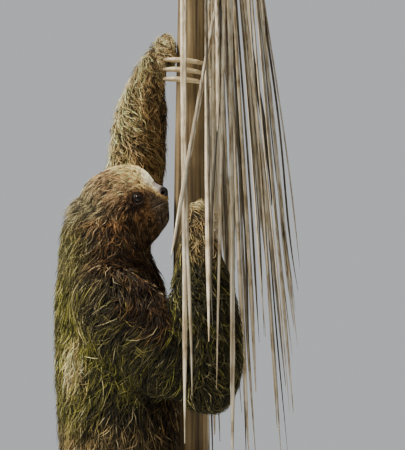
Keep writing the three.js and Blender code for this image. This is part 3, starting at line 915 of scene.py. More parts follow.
# Ranges that tufts are drawn from: their lengths and widths against the usual ones, how high the
# undercoat, the other hairs and the strays stand against the coat's depth, and how far a tuft is
# pulled to its clump.
LENGTHS = (0.6, 1.25)
WIDTHS = (0.65, 1.25)
UNDERCOAT_RISE = (0.3, 0.8)
COAT_RISE = (0.85, 1.12)
STRAY_RISE = (1.05, 1.35)
PULLS = (0.3, 0.85)

# How much a tuft turns with its clump and on its own, how far it starts against its turn and at
# random, and what a stray's width and the length at which a tuft has its full width are.
CLUMP_TURN = 0.9
OWN_TURN = 0.55
START_BACK = 0.35
START_SPREAD = 0.28
STRAY_WIDTH = 0.75
FULL_LENGTH = 26 * MM

# The same for colour: how green algae turns a tuft, how pale straw is, and how light the clumps
# painted as in shade, the clumps painted as in light and single tufts are; the dark ones are painted
# shade between the locks, beside the hair's own uneven tone.
GREENS = (0.35, 0.95)
STRAW_SHARES = (0.15, 0.6)
SHADED = (0.06, 0.34)
LIT = (0.65, 1.6)
SINGLES = (0.8, 1.5)
DARK_SINGLE = 0.25

# How deep a tuft is rooted, how soon it rises and gathers on its way, how much of its way past a
# bend it keeps, how much of its pull up or down it drops, how dark its root is painted as shade deep
# in the coat, how flat its section is, and the size of its patch on the unwrap.
ROOT_DEPTH = 0.8 * MM
RISE_CURVE = 0.42
GATHER_CURVE = 1.3
PAST_BEND = 0.5
LEVELLED = 0.8
ROOT_SHADE = 0.08
FACE_ROOT_SHADE = 0.5
SECTION_DROP = 0.35
SECTION_RIDGE = 0.75
TUFT_PATCH = 0.003

# Widths along a tuft of one, two or three lengths.
TAPERS = {1: (1.0,), 2: (0.85, 0.9), 3: (0.8, 1.0, 0.7)}


def choose_roots(skin, name, piece, chooser):
    """Where a coat piece's tufts are rooted: triangles, points on them and places on the unwrap."""
    shares = skin.over(skin.shares)
    middle = skin.over(skin.places)
    covered = np.isin(shares.argmax(axis=1), [FLESH.index(node) for node in piece.nodes])
    covered &= (middle[:, 2] >= piece.heights[0]) & (middle[:, 2] < piece.heights[1])
    crowd = zone_values(shares, "crowd")
    if "head" in piece.nodes:
        length = length_on_head(middle)
        limits = {FACE: (0, SHORT_HAIR), BROW: (SHORT_HAIR, LONG_HAIR)}.get(name, (LONG_HAIR, np.inf))
        covered &= (length >= limits[0]) & (length < limits[1])
        crowd = 1 / length
    crowd = crowd * (1 - ramp(skin.over(skin.bare), 0.25, 0.75))
    weight = np.where(covered, skin.area * crowd, 0)
    edges = np.cumsum(weight) / weight.sum()
    draws = (np.arange(piece.tufts) + chooser.random(piece.tufts)) / piece.tufts
    triangles = np.minimum(np.searchsorted(edges, draws), len(edges) - 1)
    first, second = even_spots(chooser, piece.tufts)
    blend = np.stack([1 - first - second, first, second], axis=1)
    roots = (skin.places[skin.corners[triangles]] * blend[:, :, None]).sum(axis=1)
    layout = (skin.layout[triangles] * blend[:, :, None]).sum(axis=1)
    return triangles, roots, layout


def turned(vectors, axes, angles):
    """Vectors turned about unit axes that they are square to."""
    cosine, sine = np.cos(angles)[:, None], np.sin(angles)[:, None]
    return vectors * cosine + np.cross(axes, vectors) * sine


def find_leaders(roots, spacing, chooser):
    """The tuft that each tuft leans towards; there is one for each small clump."""
    leaders = chooser.choice(len(roots), max(1, len(roots) // spacing), replace=False)
    return leaders[nearest_index(roots[leaders], roots)]


def trace(skin, triangles, roots, length, height, start, turn, joints):
    """Follows the lie of the coat from each root, turning on the way and rising off the skin."""
    surface = roots
    normals = unit(skin.over(skin.normals, triangles))
    lines = [roots - normals * ROOT_DEPTH]
    for joint in range(1, joints + 1):
        heading = turned(unit(skin.over(skin.lie, triangles)), normals, start + turn * (joint - 0.5) / joints)
        ahead = surface + heading * (length / joints)[:, None]
        triangles, surface = skin.nearest(ahead)
        normals = unit(skin.over(skin.normals, triangles))
        lift = height * (joint / joints) ** RISE_CURVE
        beyond = along_surface(ahead - surface, normals)
        lines.append(surface + normals * lift[:, None] + beyond * PAST_BEND)
    return np.stack(lines, axis=1), normals


def gather_clumps(lines, normals, leader, pull):
    """Draws the tufts of each clump together towards their tips, but hardly up or down."""
    joints = lines.shape[1] - 1
    for joint in range(1, joints + 1):
        share = (joint / joints) ** GATHER_CURVE
        towards = lines[leader, joint] - lines[:, joint]
        towards -= normals * LEVELLED * np.sum(towards * normals, axis=1, keepdims=True)
        lines[:, joint] += towards * (pull * share)[:, None]
    return lines


def tuft_colours(skin, triangles, leader, contrast, chooser):
    """Each tuft's colour, from the markings at its root, with clumps and single tufts lighter and
    darker at random; the dark ones are painted shade between the locks.
    """
    count = len(triangles)
    colour = skin.over(skin.colour, triangles)
    algae = skin.over(skin.algae, triangles)
    green = chooser.random(count) < 0.8 * algae
    colour = mix(colour, TONE["algae"], np.where(green, chooser.uniform(*GREENS, count), 0.1 * algae))
    lightness = np.sqrt(colour.mean(axis=1))
    straw = chooser.random(count) < STRAW
    faded = chooser.uniform(*STRAW_SHARES, count) * np.clip(0.35 + 1.3 * lightness, 0.35, 1)
    colour = mix(colour, TONE["straw"], np.where(straw, faded, 0))
    # Painted shade: paler markings get fewer dark clumps, darker ones more; dark clumps and dark single tufts
    # stand in for the shade in the gaps between locks.
    shaded_share = np.clip(0.94 - 0.95 * lightness, 0.16, 0.76)
    dark = chooser.random(count) < shaded_share
    clump = np.where(dark, chooser.uniform(*SHADED, count), chooser.uniform(*LIT, count))[leader]
    alone = chooser.random(count) < 0.1 + 0.38 * shaded_share
    single = np.where(alone, DARK_SINGLE, chooser.uniform(*SINGLES, count))
    return np.clip(colour * (clump**contrast * single)[:, None], 0.002, 0.9)


def tuft_faces(joints):
    """Corners of one tuft's faces: its base, its sides and its tip."""
    faces = [(0, 1, 2)]
    for joint in range(joints - 1):
        low, high = 3 * joint, 3 * joint + 3
        faces += [(low + i, high + i, high + (i + 1) % 3, low + (i + 1) % 3) for i in range(3)]
    last, tip = 3 * (joints - 1), 3 * joints
    faces += [(last + i, tip, last + (i + 1) % 3) for i in range(3)]
    return faces


def tuft_mesh(name, lines, normals, widths, colours, root_shade, layout):
    """One mesh of closed three-sided tufts along the lines."""
    count, points = lines.shape[:2]
    joints = points - 1
    forward = unit(np.gradient(lines, axis=1))
    side = unit(np.cross(forward, normals[:, None, :]))
    rise = np.cross(side, forward)
    taper = np.array(TAPERS[joints])
    half = widths[:, None, None] * taper[None, :, None] / 2
    body = lines[:, :joints]
    left = body + side[:, :joints] * half - rise[:, :joints] * half * SECTION_DROP
    right = body - side[:, :joints] * half - rise[:, :joints] * half * SECTION_DROP
    ridge = body + rise[:, :joints] * half * SECTION_RIDGE
    rings = np.stack([left, right, ridge], axis=2).reshape(count, joints * 3, 3)
    vertices = np.concatenate([rings, lines[:, joints:]], axis=1)
    per_tuft = vertices.shape[1]

    faces = tuft_faces(joints)
    corners = np.array([corner for face in faces for corner in face])
    sizes = np.array([len(face) for face in faces])
    loops = (np.arange(count)[:, None] * per_tuft + corners[None]).ravel()
    starts = np.concatenate([[0], np.cumsum(np.tile(sizes, count))[:-1]])

    mesh = bpy.data.meshes.new(name)
    mesh.vertices.add(count * per_tuft)
    mesh.vertices.foreach_set("co", vertices.astype(np.float32).ravel())
    mesh.loops.add(len(loops))
    mesh.loops.foreach_set("vertex_index", loops.astype(np.int32))
    mesh.polygons.add(len(starts))
    mesh.polygons.foreach_set("loop_start", starts.astype(np.int32))
    mesh.update(calc_edges=True)

    share = np.concatenate([np.repeat(np.arange(joints) / joints, 3), [1.0]])
    # Painted shade: each tuft is darkest at its root, deep in the coat, and lightest at its tip.
    shade = root_shade + (1 - root_shade) * ramp(share, 0.0, 0.7) + 0.25 * ramp(share, 0.6, 1.0)
    tones = colours[:, None, :] * shade[None, :, None]
    set_colour(mesh, "markings", tones.reshape(-1, 3))

    across = np.concatenate([np.tile([0.0, 1.0, 0.5], joints), [0.5]])
    patch = TUFT_PATCH * (np.stack([share, across], axis=1) - 0.5)
    places = (layout[:, None, :] + patch[None]).reshape(-1, 2)
    uv = mesh.uv_layers.new(name="OFBake")
    uv.data.foreach_set("uv", places[loops].astype(np.float32).ravel())
    mesh.validate()
    mesh.shade_smooth()
    return mesh


def grow_coat_piece(skin, name, piece, settings, material):
    chooser = np.random.default_rng([settings.seed, *name.encode()])
    triangles, roots, layout = choose_roots(skin, name, piece, chooser)
    count = len(roots)
    leader = find_leaders(roots, max(1, round(settings.clump * piece.clump)), chooser)
    stray = chooser.random(count) < STRAYS
    length = skin.over(skin.length, triangles) * settings.length_scale
    length = length * chooser.uniform(*LENGTHS, count)
    under = chooser.random(count) < UNDERCOAT
    rise = np.where(under, chooser.uniform(*UNDERCOAT_RISE, count), chooser.uniform(*COAT_RISE, count))
    rise = np.where(stray, chooser.uniform(*STRAY_RISE, count), rise)
    height = skin.over(skin.depth * skin.fluff, triangles) * rise
    curl = skin.over(skin.curl, triangles) * settings.curl
    with_clump = CLUMP_TURN * chooser.normal(size=count)[leader]
    turn = curl * (with_clump + OWN_TURN * chooser.normal(size=count))
    start = -START_BACK * turn + START_SPREAD * chooser.normal(size=count)
    lines, normals = trace(skin, triangles, roots, length, height, start, turn, piece.joints)
    pull = np.where(stray, 0.0, chooser.uniform(*PULLS, count))
    lines = gather_clumps(lines, normals, leader, pull)
    short = np.clip(length / FULL_LENGTH, 0.5, 1.1) if piece.joints > 1 else 1.0
    widths = piece.width * MM * short * chooser.uniform(*WIDTHS, count)
    widths = widths * np.where(stray, STRAY_WIDTH, 1.0)
    colours = tuft_colours(skin, triangles, leader, piece.contrast, chooser)
    root_shade = FACE_ROOT_SHADE if name == FACE else ROOT_SHADE
    mesh = tuft_mesh(name, lines, normals, widths, colours, root_shade, layout)
    return finish_piece(add_object(name, mesh), material)


def slot_of(node):
    """The record's finish slot of a node."""
    return next(row["material_slot"] for row in frame["record"]["subparts"] if row["node"] == node)


# ---- materials ------------------------------------------------------------------------------------


WHITE = (1.0, 1.0, 1.0)


class Shader:
    """A small helper that adds nodes to a new material."""

    def __init__(self, name):
        self.material = bpy.data.materials.new(name)
        self.material.use_nodes = True
        self.nodes = self.material.node_tree.nodes
        self.link = self.material.node_tree.links.new
        self.surface = self.nodes["Principled BSDF"].inputs

    def add(self, kind, inputs=(), **values):
        """A node of a kind, with its properties and unlinked inputs set, and with links to others."""
        node = self.nodes.new("ShaderNode" + kind)
        for key, value in values.items():
            if hasattr(node, key):
                setattr(node, key, value)
            else:
                node.inputs[key.replace("_", " ").title()].default_value = value
        for key, value in dict(inputs).items():
            self.link(value, node.inputs[key])
        return node

    def attribute(self, name, output="Fac"):
        return self.add("Attribute", attribute_name=name).outputs[output]

    def noise(self, scale, detail, stretch=(1, 1, 1)):
        """Noise on the object's own coordinates, stretched along its axes."""
        place = self.add("TexCoord").outputs["Object"]
        mapping = self.add("Mapping", {"Vector": place})
        mapping.inputs["Scale"].default_value = stretch
        vector = mapping.outputs["Vector"]
        return self.add("TexNoise", {"Vector": vector}, scale=scale, detail=detail).outputs["Fac"]

    def ramp(self, value, stops):
        """A colour ramp; stops are (place, colour) pairs."""
        node = self.add("ValToRGB", {"Fac": value})
        elements = node.color_ramp.elements
        while len(elements) < len(stops):
            elements.new(0.5)
        for element, (place, colour) in zip(elements, stops):
            element.position = place
            element.color = (*colour, 1)
        return node.outputs["Color"]

    def multiply(self, first, second):
        links = {"A": first, "B": second}
        return self.add("Mix", links, data_type="RGBA", blend_type="MULTIPLY", factor=1.0).outputs["Result"]

    def colour(self, colour, pattern, low, dark, high):
        """Colours the surface, and darkens it where the pattern is low."""
        tone = self.ramp(pattern, [(low, dark), (high, WHITE)])
        self.link(self.multiply(colour, tone), self.surface["Base Color"])

    def roughness(self, value, low, high):
        """Makes the roughness run from low to high with a 0 to 1 value."""
        node = self.add("MapRange", {"Value": value}, to_min=low, to_max=high)
        self.link(node.outputs["Result"], self.surface["Roughness"])

    def bump(self, height, distance, strength=1.0):
        node = self.add("Bump", {"Height": height}, distance=distance, strength=strength)
        self.link(node.outputs["Normal"], self.surface["Normal"])

    def done(self, **values):
        """The material, with the surface's uniform values set."""
        for key, value in values.items():
            self.surface[key.replace("_", " ").title().replace("Ior", "IOR")].default_value = value
        return self.material


def hair_material():
    shader = Shader("sloth_hair")
    streaks = shader.noise(700, 3)
    shader.colour(shader.attribute("markings", "Color"), streaks, 0.3, (0.72, 0.70, 0.68), 0.7)
    shader.bump(streaks, 0.0004)
    return shader.done(roughness=0.6, specular_ior_level=0.14, sheen_weight=0.03, sheen_roughness=0.5)


def skin_material():
    shader = Shader("sloth_skin")
    pores = shader.noise(900, 5)
    shader.colour(shader.attribute("markings", "Color"), pores, 0.35, (0.7, 0.68, 0.66), 0.65)
    shader.roughness(shader.attribute("bare"), 0.9, 0.42)
    shader.bump(pores, 0.0005, 0.8)
    return shader.done(specular_ior_level=0.24)


def eye_material():
    """Black pupil, a narrow dark brown iris and a blackish white of the eye, by angle from the gaze."""
    shader = Shader("sloth_eye")
    pupil, iris, iris_edge = (0.001, 0.001, 0.001), (0.026, 0.012, 0.006), (0.020, 0.009, 0.005)
    colour = shader.ramp(
        shader.attribute("from_pupil"),
        [(0.0, pupil), (0.26, pupil), (0.31, iris), (0.46, iris_edge), (0.56, (0.005, 0.003, 0.002)),
         (1.0, (0.006, 0.004, 0.003))],
    )
    shader.link(colour, shader.surface["Base Color"])
    return shader.done(roughness=0.35, specular_ior_level=0.03, coat_weight=0.45, coat_roughness=0.03)


def claw_material():
    shader = Shader("sloth_claw")
    horn = shader.ramp(
        shader.attribute("along"),
        [(0.0, linear(96, 78, 52)), (0.35, linear(168, 146, 104)), (0.8, linear(196, 176, 134)),
         (1.0, linear(120, 98, 68))],
    )
    streaks = shader.noise(260, 6, (1, 1, 5))
    shader.colour(horn, streaks, 0.3, (0.62, 0.58, 0.52), 0.7)
    shader.bump(streaks, 0.0004)
    return shader.done(roughness=0.38, specular_ior_level=0.5)


def stalk_material():
    shader = Shader("dry_palm_stalk")
    fibres = shader.noise(210, 8, (1, 1, 0.03))
    colour = shader.ramp(
        fibres,
        [(0.28, linear(44, 34, 22)), (0.45, linear(92, 76, 50)), (0.6, linear(128, 108, 74)),
         (0.8, linear(160, 140, 102))],
    )
    shader.colour(colour, shader.noise(16, 5), 0.35, (0.6, 0.56, 0.5), 0.6)
    shader.bump(fibres, 0.0012)
    return shader.done(roughness=0.82, specular_ior_level=0.25)


def leaflet_material():
    shader = Shader("dry_palm_leaflets")
    veins = shader.noise(520, 5, (1, 1, 0.02))
    colour = shader.ramp(
        veins, [(0.3, linear(140, 112, 74)), (0.45, linear(220, 200, 160)), (0.7, linear(255, 246, 224))]
    )
    tint = shader.ramp(shader.attribute("tint"), [(0.0, (0.0, 0.0, 0.0)), (1.0, WHITE)])
    stained = shader.multiply(colour, tint)
    shader.colour(stained, shader.noise(46, 6), 0.33, (0.55, 0.50, 0.44), 0.5)
    shader.bump(veins, 0.0006)
    return shader.done(roughness=0.7, specular_ior_level=0.3)


def wood_material():
    shader = Shader("base_wood")
    grain = shader.noise(34, 8, (0.12, 1, 1))
    stops = [(0.3, linear(58, 34, 20)), (0.5, linear(92, 56, 33)), (0.72, linear(120, 78, 48))]
    shader.link(shader.ramp(grain, stops), shader.surface["Base Color"])
    fine = shader.noise(420, 4, (0.08, 1, 1))
    shader.roughness(fine, 0.32, 0.5)
    shader.bump(fine, 0.0003)
    return shader.material


def steel_material():
    shader = Shader("rod_steel")
    lines = shader.noise(600, 3, (1, 1, 0.05))
    shader.roughness(lines, 0.26, 0.42)
    shader.bump(lines, 0.0001, 0.4)
    return shader.done(metallic=1.0, base_color=(0.56, 0.56, 0.57, 1))


# ---- settings -------------------------------------------------------------------------------------


class SlothBodySettings(bpy.types.PropertyGroup):
    """Size of the skin's mesh."""

    skin_voxel: FloatProperty(
        name="Skin mesh size", description="Edge length of the skin's faces before the face is refined",
        default=0.0025, min=0.001, max=0.01, unit="LENGTH",
    )


class SlothCoatSettings(bpy.types.PropertyGroup):
    """How the tufts of the coat are grown."""

    length_scale: FloatProperty(
        name="Hair length", description="All hair lengths are multiplied by this",
        default=1.0, min=0.2, max=1.5,
    )
    curl: FloatProperty(
        name="Curl", description="How much the hairs turn, as a share of the natural curl",
        default=1.0, min=0, max=3,
    )
    clump: IntProperty(
        name="Tufts in a clump", description="How many neighbouring tufts lean together",
        default=2, min=1, max=40,
    )
    seed: IntProperty(name="Seed", description="Changes every random choice of the coat", default=4, min=0)


class SlothPerchSettings(bpy.types.PropertyGroup):
    """The dry palm stalk and its leaflets."""

    companions: IntProperty(
        name="Companions", description="How many thin leaflets hang beside each broad one",
        default=3, min=0, max=6,
    )
    leaflet_width: FloatProperty(
        name="Leaflet width", description="Widest part of a folded leaflet",
        default=0.0056, min=0.002, max=0.03, unit="LENGTH",
    )
    stalk_middle: FloatProperty(
        name="Stalk middle", description="How far in front of the base's middle the stalk's top is",
        default=0.051, unit="LENGTH",
    )
    seed: IntProperty(name="Seed", description="Changes how the leaflets hang", default=3, min=0)


class SlothStageSettings(bpy.types.PropertyGroup):
    """Floor and light."""

    floor_colour: FloatVectorProperty(
        name="Floor colour", description="Colour of the plain floor", subtype="COLOR",
        default=(0.80, 0.79, 0.77), min=0, max=1,
    )
    key_power: FloatProperty(
        name="Key light", description="Power of the soft light from above",
        default=150, min=0, subtype="POWER",
    )
    sky: FloatProperty(
        name="Room light", description="Strength of the even light from all round",
        default=0.52, min=0,
    )


SETTINGS = {
    "sloth_body": SlothBodySettings,
    "sloth_coat": SlothCoatSettings,
    "sloth_perch": SlothPerchSettings,
    "sloth_stage": SlothStageSettings,
}
made = {}


# ---- operators ------------------------------------------------------------------------------------


class SLOTH_OT_make_skin(bpy.types.Operator):
    """Make the one skin that stands for all the solids of flesh"""

    bl_idname = "sloth.make_skin"
    bl_label = "Make skin"

    def execute(self, context):
        skin = Skin(context.scene.sloth_body)
        finish_piece(skin.piece, skin_material(), FLESH + ("nose",))
        made["skin"] = skin
        return {"FINISHED"}


class SLOTH_OT_make_coat(bpy.types.Operator):
    """Grow the tufts of the coat on the skin"""

    bl_idname = "sloth.make_coat"
    bl_label = "Grow coat"

    def execute(self, context):
        material = hair_material()
        for name, piece in COAT_PIECES.items():
            grow_coat_piece(made["skin"], name, piece, context.scene.sloth_coat, material)
        return {"FINISHED"}


# The cornea's reach from the gaze, how far it bulges, and where the eye's colours end, in radians.
CORNEA = math.radians(44)
CORNEA_BULGE = 0.06
EYE_COLOURS = math.radians(90)


class SLOTH_OT_make_eyes(bpy.types.Operator):
    """Make the glossy dark eyeballs"""

    bl_idname = "sloth.make_eyes"
    bl_label = "Make eyes"

    def execute(self, context):
        material = eye_material()
        for node, side in EYES.items():
            gaze = Vector(unit(HEAD.right * side * 0.93 + HEAD.ahead * 0.36 - HEAD.above * 0.04))
            turn = gaze.to_track_quat("Z", "Y").to_matrix()
            middle = Vector(node_middle(node))
            ball = bmesh.new()
            bmesh.ops.create_uvsphere(ball, u_segments=48, v_segments=32, radius=HEAD.eye_radius * MM)
            angles = []
            for vert in ball.verts:
                angle = vert.co.angle(Vector(UP))
                angles.append(angle)
                if angle < CORNEA:
                    vert.co *= 1 + CORNEA_BULGE * math.cos(angle / CORNEA * math.pi / 2)
                vert.co = middle + turn @ vert.co
            mesh = mesh_from(ball, node + "_ball")
            set_value(mesh, "from_pupil", np.clip(np.array(angles) / EYE_COLOURS, 0, 1))
            mesh.shade_smooth()
            finish_piece(add_object(node + "_ball", mesh), material, (node,))
        return {"FINISHED"}


class SLOTH_OT_make_claws(bpy.types.Operator):
    """Make the long curved claws, three to each hand and foot"""

    bl_idname = "sloth.make_claws"
    bl_label = "Make claws"

    def execute(self, context):
        material = claw_material()
        for limb in LIMB_ENDS:
            for place in CLAW_PLACES:
                node = f"{limb}_claw_{place}"
                claw = remeshed(node + "_horn", (node,), 0.15 * MM, 0.8 * MM)
                places = places_of(claw.data)
                write_vertices(claw.data, relaxed(places, edges_of(claw.data), 5, 0.4))
                from_hand = np.linalg.norm(places - node_middle(limb), axis=1)
                set_value(claw.data, "along", (from_hand - from_hand.min()) / np.ptp(from_hand))
                claw.data.shade_smooth()
                finish_piece(claw, material, (node,))
        return {"FINISHED"}


class SLOTH_OT_make_perch(bpy.types.Operator):
    """Make the fibrous palm stalk"""

    bl_idname = "sloth.make_perch"
    bl_label = "Make palm stalk"

    def execute(self, context):
        node = "perch_stalk"
        work = welded(node)
        for _ in range(2):
            bmesh.ops.subdivide_edges(work, edges=work.edges, cuts=1, use_grid_fill=True)
            bmesh.ops.triangulate(work, faces=work.faces)
        mesh = mesh_from(work, "palm_stalk")
        mesh.shade_smooth()
        finish_piece(add_object("palm_stalk", mesh), stalk_material(), (node,))
        return {"FINISHED"}


class Leaflet(NamedTuple):
    """A leaflet that hangs in front of the forearm: how far across it turns down, and its tip, in
    millimetres."""

    turn: float
    tip: tuple


FRONT_LEAFLETS = (
    Leaflet(38, (42, -124, 306)),
    Leaflet(88, (26, -119, 514)),
    Leaflet(66, (67, -127, 418)),
    Leaflet(74, (72, -122, 512)),
    Leaflet(86, (77, -128, 366)),
    Leaflet(92, (94, -124, 262)),
)
# The paths of the leaflets in front and of the fan behind, as the solids have them, in millimetres.
FRONT_TURN = -88.0
FAN_COUNT = 12
FAN_ACROSS = (66.0, 172.0)
FAN_TIPS = (230.0, 520.0)
FAN_BACK = 100.0
BEHIND_ARM = 46.0
CLEAR_OF_ARM = 116.0
GOLDEN = 0.618
CROWN_RADIUS = 15.0
CROWN_HEIGHT = 14.0
CROWN_SIDES = 27
CROWN_RINGS = ((0.0, 1.0), (0.25, 1.03), (0.55, 0.98), (0.8, 0.88), (0.95, 0.7), (1.0, 0.4))

# Points along a leaflet's hanging part, how far a companion hangs aside and how much of that it
# has at its turn, and how much broader the fan's leaflets are.
LEAFLET_POINTS = 11
ASIDE = 9
ASIDE_AT_TURN = 0.6
FAN_BREADTH = 1.35

# Ranges that leaflets are drawn from: how much higher a companion ends and how far it waves, in
# millimetres, how many radians a wave has and where it starts, the turn at the top and the turn
# further down, in radians, and widths and tints, first of a companion and then of a solid's leaflet.
ENDS_HIGHER = (-10, 150)
SWINGS = (1, 5)
SOLID_SWING = 0.8
WAVES = (3, 8)
WAVE_STARTS = (0, 6)
TURNS = (-0.5, 0.5)
TWISTS = (-0.9, 0.9)
COMPANION_BREADTHS = (0.45, 0.8)
SOLID_BREADTHS = (0.9, 1.05)
COMPANION_TINTS = (0.06, 0.7)
SOLID_TINTS = (0.8, 1.0)

# A leaflet's width where it arches over the crown, the share of its length in which it tapers, and
# its width at the tip, all against its widest.
ARCH_WIDTHS = (0.3, 0.5, 0.8)
TAPER_SHARE = 0.22
TIP_WIDTH = 0.12


def blend(first, last, share):
    return first + (last - first) * share


def leaflet_ends(foot):
    """Where each solid leaflet leaves the crown, turns down and ends. Foot is the crown's middle."""
    turn_height = foot[2] + CROWN_HEIGHT
    front = [
        (np.array([leaflet.turn, FRONT_TURN, turn_height]), np.array(leaflet.tip, dtype=float))
        for leaflet in FRONT_LEAFLETS
    ]
    fan = []
    for index in range(FAN_COUNT):
        across = blend(*FAN_ACROSS, index / (FAN_COUNT - 1))
        nearest = BEHIND_ARM if across < CLEAR_OF_ARM else -FAN_BACK
        back = blend(nearest, FAN_BACK, index * GOLDEN % 1)
        turn = np.array([blend(foot[0], across, 0.6), 0.75 * back, turn_height])
        fan.append((turn, np.array([across, back, blend(*FAN_TIPS, 2 * index * GOLDEN % 1)])))
    ends = []
    for index, (turn, tip) in (*enumerate(front), *enumerate(fan)):
        out = unit((turn - foot) * (1, 1, 0)) * 0.6 * CROWN_RADIUS
        root = foot + out + UP * blend(0.2, 0.8, index * GOLDEN % 1) * CROWN_HEIGHT
        ends.append((root, turn, tip))
    return ends


def leaflet_guides(settings, foot):
    """Points, joins, widths, turns and tints of all the leaflets' middle lines."""
    chooser = np.random.default_rng(settings.seed)
    share = np.append(0.05, np.linspace(0.1, 1, LEAFLET_POINTS - 1))[:, None]
    sideways = 1 - (1 - share) ** 1.7
    course = np.array([0.0, 1.0, 0.0]) * sideways + np.array([1.0, 0.0, 1.0]) * share
    down = share[:, 0]
    profile = np.append(ARCH_WIDTHS, np.clip((1.02 - down) / TAPER_SHARE, TIP_WIDTH, 1) ** 0.8)
    twist = np.append([0, 0, 0], down)
    points, widths, turns, tints = [], [], [], []
    for index, (root, turn, tip) in enumerate(leaflet_ends(foot)):
        in_front = index < len(FRONT_LEAFLETS)
        for copy in range(2 if in_front else 1 + settings.companions):
            aside = np.array([chooser.uniform(-1, 1), chooser.uniform(0, 1) * (-1 if in_front else 1), 0.0])
            shift = aside * (ASIDE if copy else 0)
            rise = UP * (chooser.uniform(*ENDS_HIGHER) if copy else 0)
            over = turn + shift * ASIDE_AT_TURN
            line = over + (tip + shift + rise - over) * course
            wave = np.sin(down * chooser.uniform(*WAVES) + chooser.uniform(*WAVE_STARTS)) * down
            line[:, 0] += wave * (chooser.uniform(*SWINGS) if copy else SOLID_SWING)
            arch = [root, blend(root, over, 0.55) + UP * 1.5, blend(root, over, 0.88) - UP * 3.5]
            points.append(np.vstack([*arch, line]) * MM)
            size = chooser.uniform(*(COMPANION_BREADTHS if copy else SOLID_BREADTHS))
            widths.append(profile * (size if in_front else FAN_BREADTH * size))
            turns.append(chooser.uniform(*TURNS) + chooser.uniform(*TWISTS) * twist)
            tint = chooser.uniform(*(COMPANION_TINTS if copy else SOLID_TINTS))
            tints.append(np.full(len(points[-1]), tint))
    firsts = np.arange(sum(map(len, points))).reshape(len(points), -1)
    joins = np.stack([firsts[:, :-1], firsts[:, 1:]], axis=-1).reshape(-1, 2)
    return np.concatenate(points), joins, np.concatenate(widths), np.concatenate(turns), np.concatenate(tints)


def leaflet_tree(material):
    """A tree that turns guide lines into folded leaflets with closed edges."""
    tree = bpy.data.node_groups.new("dry_leaflets", "GeometryNodeTree")
    tree.is_modifier = True
    tree.interface.new_socket("Guides", in_out="INPUT", socket_type="NodeSocketGeometry")
    for name, value in (("Half width", 0.0035), ("Fold", 0.002), ("Thickness", 0.0006)):
        socket = tree.interface.new_socket(name, in_out="INPUT", socket_type="NodeSocketFloat")
        socket.default_value = value
    tree.interface.new_socket("Leaflets", in_out="OUTPUT", socket_type="NodeSocketGeometry")

    def add(kind, inputs, **properties):
        """The first output of a new node, whose inputs are linked or set to plain values."""
        node = tree.nodes.new(kind)
        for name, value in properties.items():
            setattr(node, name, value)
        for name, value in inputs.items():
            if isinstance(value, bpy.types.NodeSocket):
                tree.links.new(value, node.inputs[name])
            else:
                node.inputs[name].default_value = value
        return node.outputs[0]

    def named(attribute):
        return add("GeometryNodeInputNamedAttribute", {"Name": attribute}, data_type="FLOAT")

    def worked_out(operation, first, second):
        return add("ShaderNodeMath", {0: first, 1: second}, operation=operation)

    def point(**inputs):
        return add("ShaderNodeCombineXYZ", inputs)

    given = tree.nodes.new("NodeGroupInput").outputs
    half, fold = given["Half width"], given["Fold"]
    lines = add("GeometryNodeMeshToCurve", {"Mesh": given["Guides"]})
    lines = add("GeometryNodeCurveSplineType", {"Curve": lines}, spline_type="CATMULL_ROM")
    lines = add("GeometryNodeSetSplineResolution", {"Geometry": lines, "Resolution": 3})
    lines = add("GeometryNodeSetCurveTilt", {"Curve": lines, "Tilt": named("turn")})
    corners = {
        "Point 1": point(X=half),
        "Point 2": point(Y=fold),
        "Point 3": point(X=worked_out("MULTIPLY", half, -1.0)),
        "Point 4": point(Y=worked_out("SUBTRACT", fold, given["Thickness"])),
    }
    section = add("GeometryNodeCurvePrimitiveQuadrilateral", corners, mode="POINTS")
    sweep = {"Curve": lines, "Profile Curve": section, "Scale": named("width"), "Fill Caps": True}
    leaflets = add("GeometryNodeCurveToMesh", sweep)
    leaflets = add("GeometryNodeRealizeInstances", {"Geometry": leaflets})
    leaflets = add("GeometryNodeSetMaterial", {"Geometry": leaflets, "Material": material})
    tree.links.new(leaflets, tree.nodes.new("NodeGroupOutput").inputs["Leaflets"])
    return tree


def add_crown(work, foot):
    """The ragged stump of old leaf bases that the leaflets grow from."""
    tint = work.verts.layers.float["tint"]
    rings = []
    for rise, size in CROWN_RINGS:
        ring = []
        for side in range(CROWN_SIDES):
            angle = side / CROWN_SIDES * math.tau
            ragged = 1 + 0.07 * math.sin(9 * angle) - 0.05 * math.sin(4 * angle + 5 * rise)
            reach = CROWN_RADIUS * size * ragged
            place = foot + (reach * math.cos(angle), reach * math.sin(angle), rise * CROWN_HEIGHT)
            ring.append(work.verts.new(place * MM))
            ring[-1][tint] = 0.55
        rings.append(ring)
    for lower, upper in zip(rings, rings[1:]):
        for side in range(CROWN_SIDES):
            after = (side + 1) % CROWN_SIDES
            work.faces.new((lower[side], lower[after], upper[after], upper[side]))
    work.faces.new(rings[0][::-1])
    work.faces.new(rings[-1])


